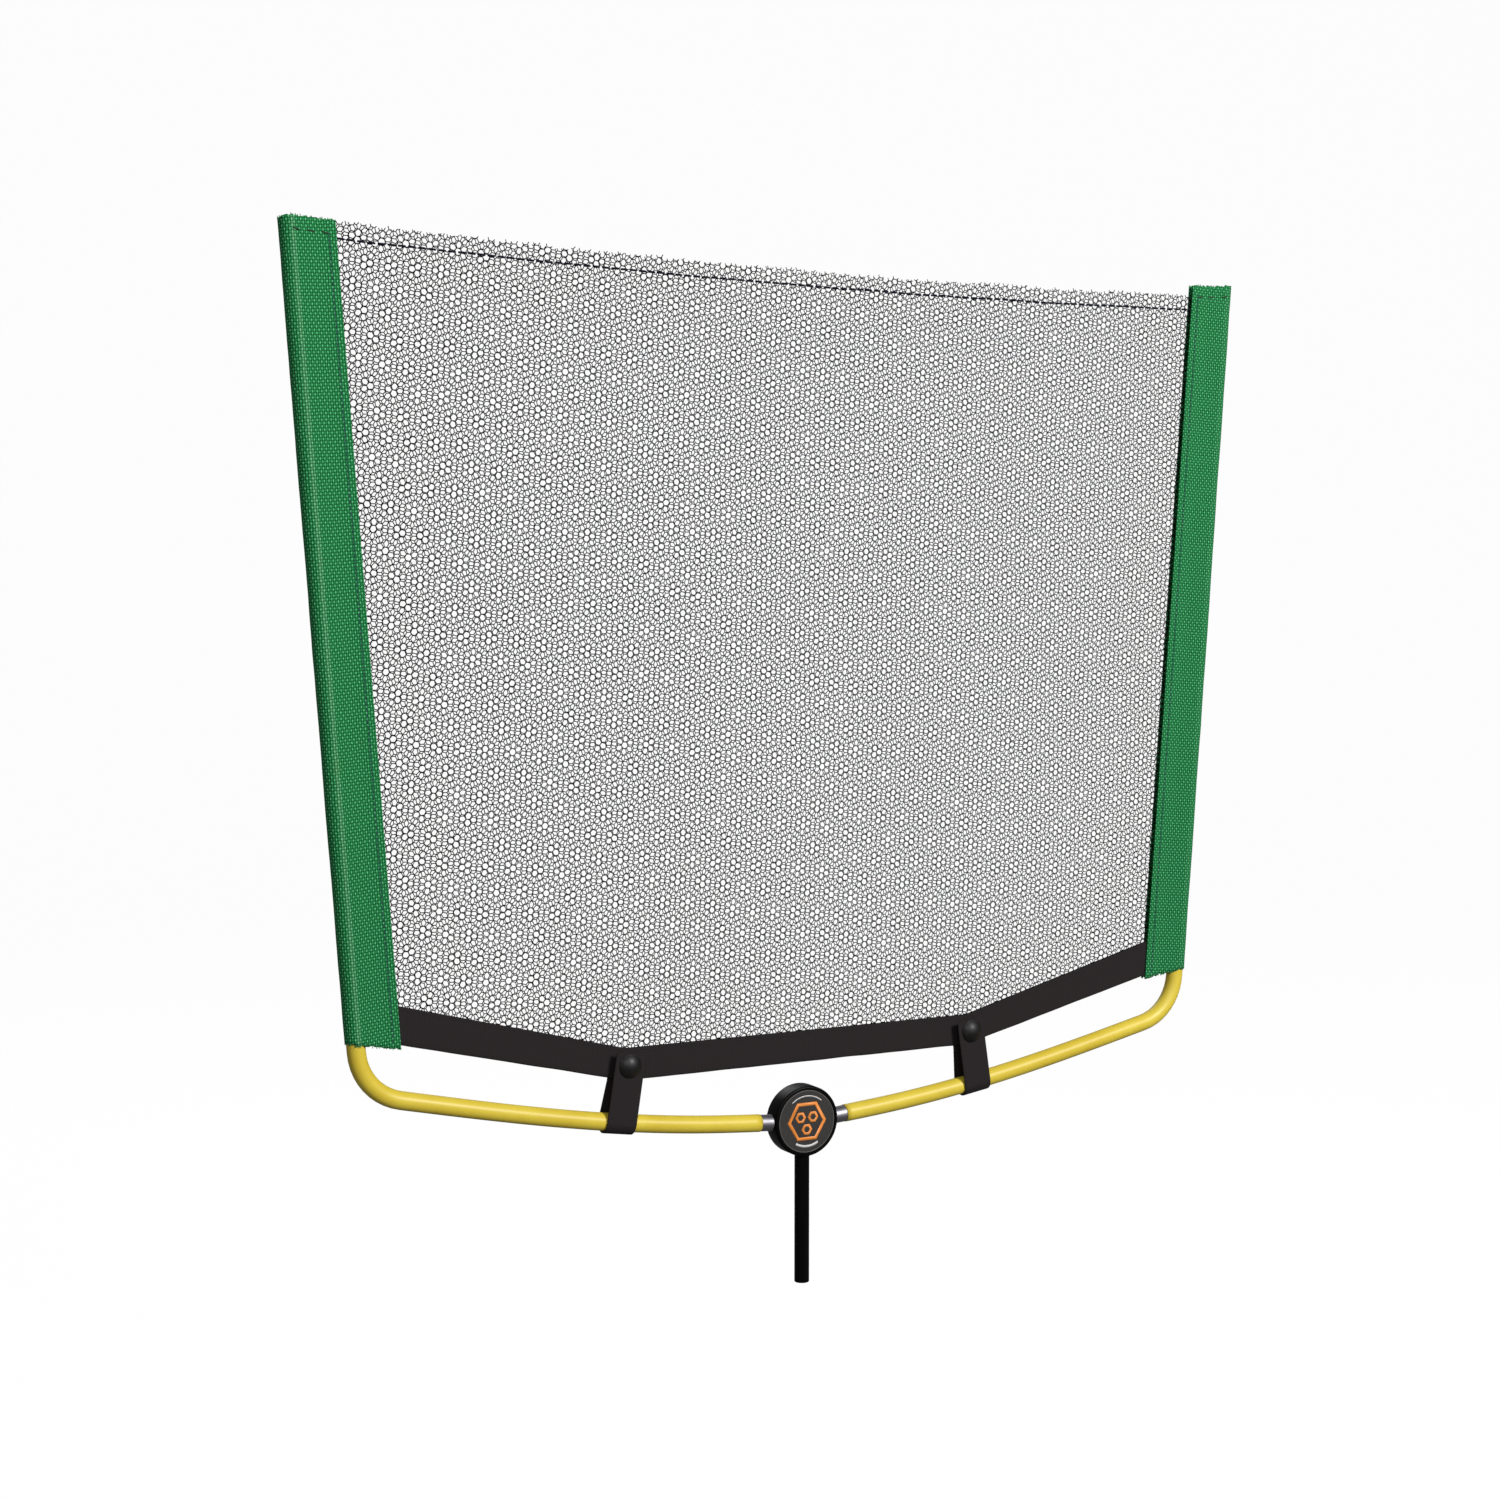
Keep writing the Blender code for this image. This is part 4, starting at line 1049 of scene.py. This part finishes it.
def closing_faces(knots, ways, first, last):
    """Small faces over the sides of whole knots where the next thread belongs to the next mesh."""
    every = (3 * np.unique(knots)[:, None] + np.arange(3)).ravel()
    knot, way = np.divmod(np.setdiff1d(every, 3 * knots + ways), 3)
    before = (way + 2) % 3
    sides = {1: 4 * knot + 1 + way, 3: 4 * knot + 1 + before}
    return np.stack([sides[first], 4 * knot, sides[last]], 1)


def net_piece(name, points, threads, whole_knots, look):
    near, far, way = threads.T
    before = (way + 2) % 3
    ridge, left, right = 4 * near, 4 * near + 1 + way, 4 * near + 1 + before
    far_ridge, far_left, far_right = 4 * far, 4 * far + 1 + before, 4 * far + 1 + way
    quads = np.vstack([
        np.stack([left, ridge, far_ridge, far_left], 1),
        np.stack([ridge, right, far_right, far_ridge], 1),
        np.stack([right, left, far_left, far_right], 1),
    ])
    knots = np.unique(threads[:, :2])
    knots = 4 * knots[knots < whole_knots]
    near_cut = near >= whole_knots
    far_cut = far >= whole_knots
    triangles = np.vstack([
        np.stack([knots + 3, knots + 2, knots + 1], 1),
        np.stack([right, ridge, left], 1)[near_cut],
        np.stack([far_left, far_ridge, far_right], 1)[far_cut],
        closing_faces(near[~near_cut], way[~near_cut], 1, 3),
        closing_faces(far[~far_cut], way[~far_cut], 3, 1),
    ])
    used = np.unique(np.concatenate([quads.ravel(), triangles.ravel()]))
    number = np.zeros(len(points), int)
    number[used] = np.arange(len(used))
    mesh = bpy.data.meshes.new(name)
    mesh.vertices.add(len(used))
    mesh.vertices.foreach_set("co", points[used].ravel())
    corners = np.concatenate([number[quads].ravel(), number[triangles].ravel()])
    mesh.loops.add(len(corners))
    mesh.loops.foreach_set("vertex_index", corners)
    starts = np.concatenate([4 * np.arange(len(quads)), 4 * len(quads) + 3 * np.arange(len(triangles))])
    mesh.polygons.add(len(starts))
    mesh.polygons.foreach_set("loop_start", starts)
    # every thread takes the same strip of the thread's finish
    uv = np.zeros((len(corners), 2))
    side = np.repeat(np.arange(3) / 3, len(threads))
    for corner, (u, v) in enumerate(((0, 0), (0, 1), (1, 1), (1, 0))):
        uv[corner:4 * len(quads):4, 0] = u
        uv[corner:4 * len(quads):4, 1] = side + v / 3
    uv[4 * len(quads):] = np.tile([(0.0, 0.0), (0.1, 0.0), (0.0, 0.1)], (len(triangles), 1))
    mesh.uv_layers.new(name="OFBake").uv.foreach_set("vector", uv.ravel())
    mesh.update(calc_edges=True)
    mesh.validate()
    return shown(name, mesh, look)


def make_net(looks):
    outline = NetOutline()
    front = make_net_layer("net_front", outline, 0.0, 3, looks["net_thread"])
    back = make_net_layer("net_back", outline, NET_BACK_TURN, 8, looks["net_thread"])
    thread = top_stitch(outline, looks)


def top_stitch(outline, looks):
    """The running stitch that joins both layers under the raw top edge."""
    limit = outline.side_line[1][1] - 12 * MM
    made = []
    for i in range(int(2 * limit / TOP_STITCH_PITCH)):
        start = -limit + i * TOP_STITCH_PITCH
        marks = []
        for share, rise in TOP_STITCH_ARCH:
            x = start + TOP_STITCH_SHARE * TOP_STITCH_PITCH * share
            sway = 0.5 * MM * noise.noise(Vector((x * 30, 2.0, 0.0)))
            z = float(outline.top(x)) - TOP_STITCH_DROP + sway
            marks.append(Vector((x, -TOP_THREAD_SKIN - TOP_THREAD * rise, z)))
        made.append(swept("stitch", marks, TOP_THREAD, looks["navy_thread"], sides=8))
    return fasten(joined("net_top_stitch", made), ROOT, "net")


# ---- Hem ----

def make_hem(looks):
    """One length of webbing folded up over the net's bottom edge and sewn through near its top."""
    points = corners_of("bottom_hem")
    front = points[points[:, 1] < points[:, 1].min() + 0.01 * MM]
    reach = np.abs(front[:, 0])
    ends = front[reach > reach.max() - 6 * MM]
    cap_low, cap_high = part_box("right_snap_cap")
    kink = (cap_low.x + cap_high.x) / 2
    kinks = front[np.abs(reach - kink) < 0.2 * MM]
    half = points[:, 1].max() - HEM_CLOTH / 2
    stop = float(np.abs(ends[:, 0]).min())
    stations = np.linspace(-stop, stop, 233)
    # the kinks are a little soft, as folded webbing is
    smear = np.linspace(-3 * MM, 3 * MM, 7)
    levels = []
    for row in (ends[:, 2].min(), kinks[:, 2].min()), (ends[:, 2].max(), kinks[:, 2].max()):
        spots = np.abs(stations[:, None] + smear[None, :])
        levels.append(np.interp(spots, [kink, stop], [row[1], row[0]]).mean(1))
    heights = [1.0, 0.985] + list(np.linspace(0.92, 0.1, 9))
    # across the hem: y, the share of the height above the fold, and the fold's own height
    section = [(-half, h, 0.0) for h in heights]
    section += [(-half * a, 0.0, 1 - b) for a, b in arc(1, 0, math.pi, 9)]
    section += [(half, h, 0.0) for h in reversed(heights)]
    cloth, uv = [], []
    for i, x in enumerate(stations):
        low = levels[0][i] + 0.25 * MM * noise.noise(Vector((x * 45, 0.0, 4.0)))
        high = levels[1][i]
        line = []
        for y, share, fold in section:
            z = low + half * fold if share == 0.0 else low + half + (high - low - half) * share
            depth = 0.10 * MM * noise.noise(Vector((x * 60, share * 2 + (1 if y > 0 else 0), 9.0)))
            line.append(Vector((x, y + depth, z)))
        cloth += line
        uv += [(x, run) for run in runs_along(line)]
    faces = grid_faces(len(stations), len(section))
    hem = solidify(mesh_object("hem_webbing", cloth, faces, looks["webbing"], uv), HEM_CLOTH)
    fasten(hem, ROOT, "black_webbing", "bottom_hem")
    seam = []
    length = HEM_STITCH_SHARE * HEM_STITCH_PITCH
    for i in range(int(2 * stop / HEM_STITCH_PITCH)):
        x = -stop + HEM_STITCH_PITCH * (i + 0.5)
        z = float(np.interp(x, stations, levels[1])) - HEM_SEAM_DROP
        for sign in (-1, 1):
            skin = half + HEM_CLOTH / 2
            path = [Vector((x + length * s, sign * (skin + rise * MM), z)) for s, rise in HEM_STITCH_ARCH]
            seam.append(swept("stitch", path, HEM_THREAD, looks["black_thread"], sides=5))
    seam = fasten(joined("hem_seam", seam), ROOT, "black_webbing")


# ---- Snap tabs ----

class Tab:
    """The frame of one snap tab, on the arm's axis: y back and z square to the arm."""

    def __init__(self, side):
        joint = next(j for j in frame["joints"] if j["name"] == side + "_flap_fold")
        self.hinge = Vector(joint["pos_m"])
        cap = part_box(side + "_snap_cap")
        self.snap = (cap[0] + cap[1]) / 2
        rise = self.snap - self.hinge
        self.up = Vector((rise.x, 0, rise.z)).normalized()
        self.along = Vector((self.up.z, 0, -self.up.x))
        self.origin = Vector((self.hinge.x, 0, self.hinge.z)) + self.up * HINGE_BELOW_AXIS

    def at(self, y, z):
        return self.origin + self.up * z + Vector((0, y, 0))

    def height(self, node):
        """The highest corner of a node, above the arm's axis."""
        return float(((corners_of(node) - np.array(self.origin)) @ np.array(self.up)).max())


def webbing_strip(name, path, across, look):
    """Flat webbing with rounded edges, swept along a path."""
    half = WEBBING / 2
    flat = WEBBING_WIDTH / 2 - half
    section = [(flat + a, b) for a, b in arc(half, -math.pi / 2, math.pi / 2, 7)]
    section += [(flat * s, half) for s in (0.75, 0.5, 0.25, 0, -0.25, -0.5, -0.75)]
    section += [(-a, -b) for a, b in section]
    points, uv = [], []
    for i, (place, run) in enumerate(zip(path, runs_along(path))):
        out = across.cross(heading(path, i)).normalized()
        # the cut end is a touch narrower where it was sealed with heat
        narrow = 1 - 0.025 * max(0.0, 1 - (len(path) - 1 - i) / 2)
        for a, b in section:
            points.append(place + across * a * narrow + out * b)
            uv.append((run, a + (WEBBING_WIDTH if b < 0 else 0)))
    return mesh_object(name, points, tube_faces(len(path), len(section)), look, uv)


def stitched_box(name, tab, y, low, high, looks):
    """The square of stitches that sews the strap's end to the hem."""
    wide = WEBBING_WIDTH / 2 - BOX_STITCH_INSET
    ring = [(-wide, low), (wide, low), (wide, high), (-wide, high), (-wide, low)]
    made = []
    for (a, b), (c, d) in zip(ring, ring[1:]):
        length = math.hypot(c - a, d - b)
        count = round(length / HEM_STITCH_PITCH)
        for i in range(count):
            marks = []
            for s, rise in BOX_STITCH_ARCH:
                t = (i + s) / count
                marks.append(tab.at(y + rise * MM, b + (d - b) * t) + tab.along * (a + (c - a) * t))
            made.append(swept("stitch", marks, HEM_THREAD, looks["black_thread"], sides=5))
    return fasten(joined(name, made), ROOT, "black_webbing")


def make_tab(side, looks):
    tab = Tab(side)
    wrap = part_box(side + "_tab_strap")[1].y - WEBBING / 2
    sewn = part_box("bottom_hem")[1].y + GAP + WEBBING / 2
    top = tab.height(side + "_tab_strap")
    tangent = math.acos(wrap / math.hypot(sewn, WEBBING_PARTS))
    first = math.atan2(WEBBING_PARTS, sewn) - tangent
    back = [(sewn, top - k * (top - WEBBING_PARTS) / 6) for k in range(7)]
    leave = (wrap * math.cos(first), wrap * math.sin(first))
    fall = leave[1] - WEBBING_PARTS
    back += [(sewn + (leave[0] - sewn) * k / 6, WEBBING_PARTS + fall * k / 6) for k in range(1, 6)]
    back += arc(wrap, first, -math.pi / 2, 14)
    path = [tab.at(y, z) for y, z in reversed(back)]
    strap = webbing_strip(side + "_back_strap", path, tab.along, looks["webbing"])
    fasten(strap, ROOT, "black_webbing", side + "_tab_strap")
    turn = arc(wrap, -math.pi / 2, -math.pi, 12)
    straight = [(-wrap, z) for z in np.linspace(0.0, 8 * MM, 17)[1:]]
    straight += [(-wrap, z) for z in np.linspace(8 * MM, top, 14)[1:]]
    path = [tab.at(y, z) for y, z in turn + straight]
    flap = webbing_strip(side + "_front_strap", path, tab.along, looks["webbing"])
    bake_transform(flap)
    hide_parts(side + "_tab_flap")
    skin = sewn + WEBBING / 2
    stitched_box(side + "_strap_stitches", tab, skin, BOX_STITCH_LOW, top - 2 * MM, looks)
    make_cap(side, tab, looks)
    smoothed(side + "_snap_socket", side + "_flap", "snap_metal", looks["snap"])
    smoothed(side + "_snap_stud", ROOT, "snap_metal", looks["snap"])
    smoothed(side + "_snap_rivet", ROOT, "snap_metal", looks["snap"])


def make_cap(side, tab, looks):
    """The snap's domed cap with a rolled rim, and its shank."""
    low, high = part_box(side + "_snap_cap")
    radius = (high.x - low.x) / 2
    seat = -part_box(side + "_tab_flap")[0].y + GAP
    dome = -low.y - seat - 2 * CAP_RIM
    sphere = (radius ** 2 + dome ** 2) / (2 * dome)
    reach = math.asin((radius - 0.25 * MM) / sphere)
    profile = []
    for t in np.linspace(0, reach, 20):
        profile.append((sphere * math.sin(t), -low.y - sphere * (1 - math.cos(t))))
    rim = profile[-1][1]
    # the rolled rim, from the dome's edge round to the seat on the strap
    profile += [(radius - 0.05 * MM, rim - 0.12 * MM), (radius, rim - 0.35 * MM)]
    profile += [(radius - 0.08 * MM, seat + 0.12 * MM), (radius - 0.3 * MM, seat)]
    profile += [(CAP_SHANK, seat), (CAP_SHANK, -high.y), (0, -high.y)]
    place = Vector((tab.snap.x, 0, tab.snap.z))
    cap = turned(side + "_domed_cap", profile, place, (0, -1, 0), looks["gloss"])
    fasten(cap, side + "_flap", "gloss_black", side + "_snap_cap")


looks = {
    "anodised": black_anodised_aluminium(),
    "oxide": black_oxide_steel(),
    "aluminium": drawn_aluminium(),
    "enamel": yellow_enamel(),
    "badge": printed_film("badge_film", "282624"),
    "grey_ink": printed_film("grey_ink", "6a6866"),
    "pale_ink": printed_film("pale_ink", "d8d6d3"),
    "orange_ink": printed_film("orange_ink", "f59238"),
    "nylon": moulded_nylon(),
    "webbing": black_webbing(),
    "net_thread": net_yarn(),
    "navy_thread": spun_thread("navy_thread", "040614", "0c1028"),
    "brown_thread": spun_thread("brown_thread", "2a2418", "3a3a3c"),
    "black_thread": spun_thread("black_thread", "101012", "2c2a2c"),
    "slate_thread": spun_thread("slate_thread", "1d3340", "41606a"),
    "duck_thread": spun_thread("duck_thread", "156b37", "3c9c60"),
    "cord_braid": spun_thread("cord_braid", "161616", "3a3a3a"),
    "snap": lacquered_brass("lacquered_snap", "1c1b1b", gloss=0.35, coat=0.15),
    "gloss": lacquered_brass("gloss_black_cap", "050505", gloss=0.5, coat=0.05),
}
ridge = Sleeve("left").ridge()
# the left sleeve carries a much stronger painted highlight along its ridge than the right
looks["left_duck"] = green_duck_cloth("left_green_duck", ridge, 0.55)
looks["right_duck"] = green_duck_cloth("right_green_duck", ridge, 0.1)
make_camera()
make_studio()
make_hub(looks)
make_pin(looks)
make_frame(looks)
for side in SIDES:
    make_sleeve(side, looks)
make_net(looks)
make_hem(looks)
for side in SIDES:
    make_tab(side, looks)
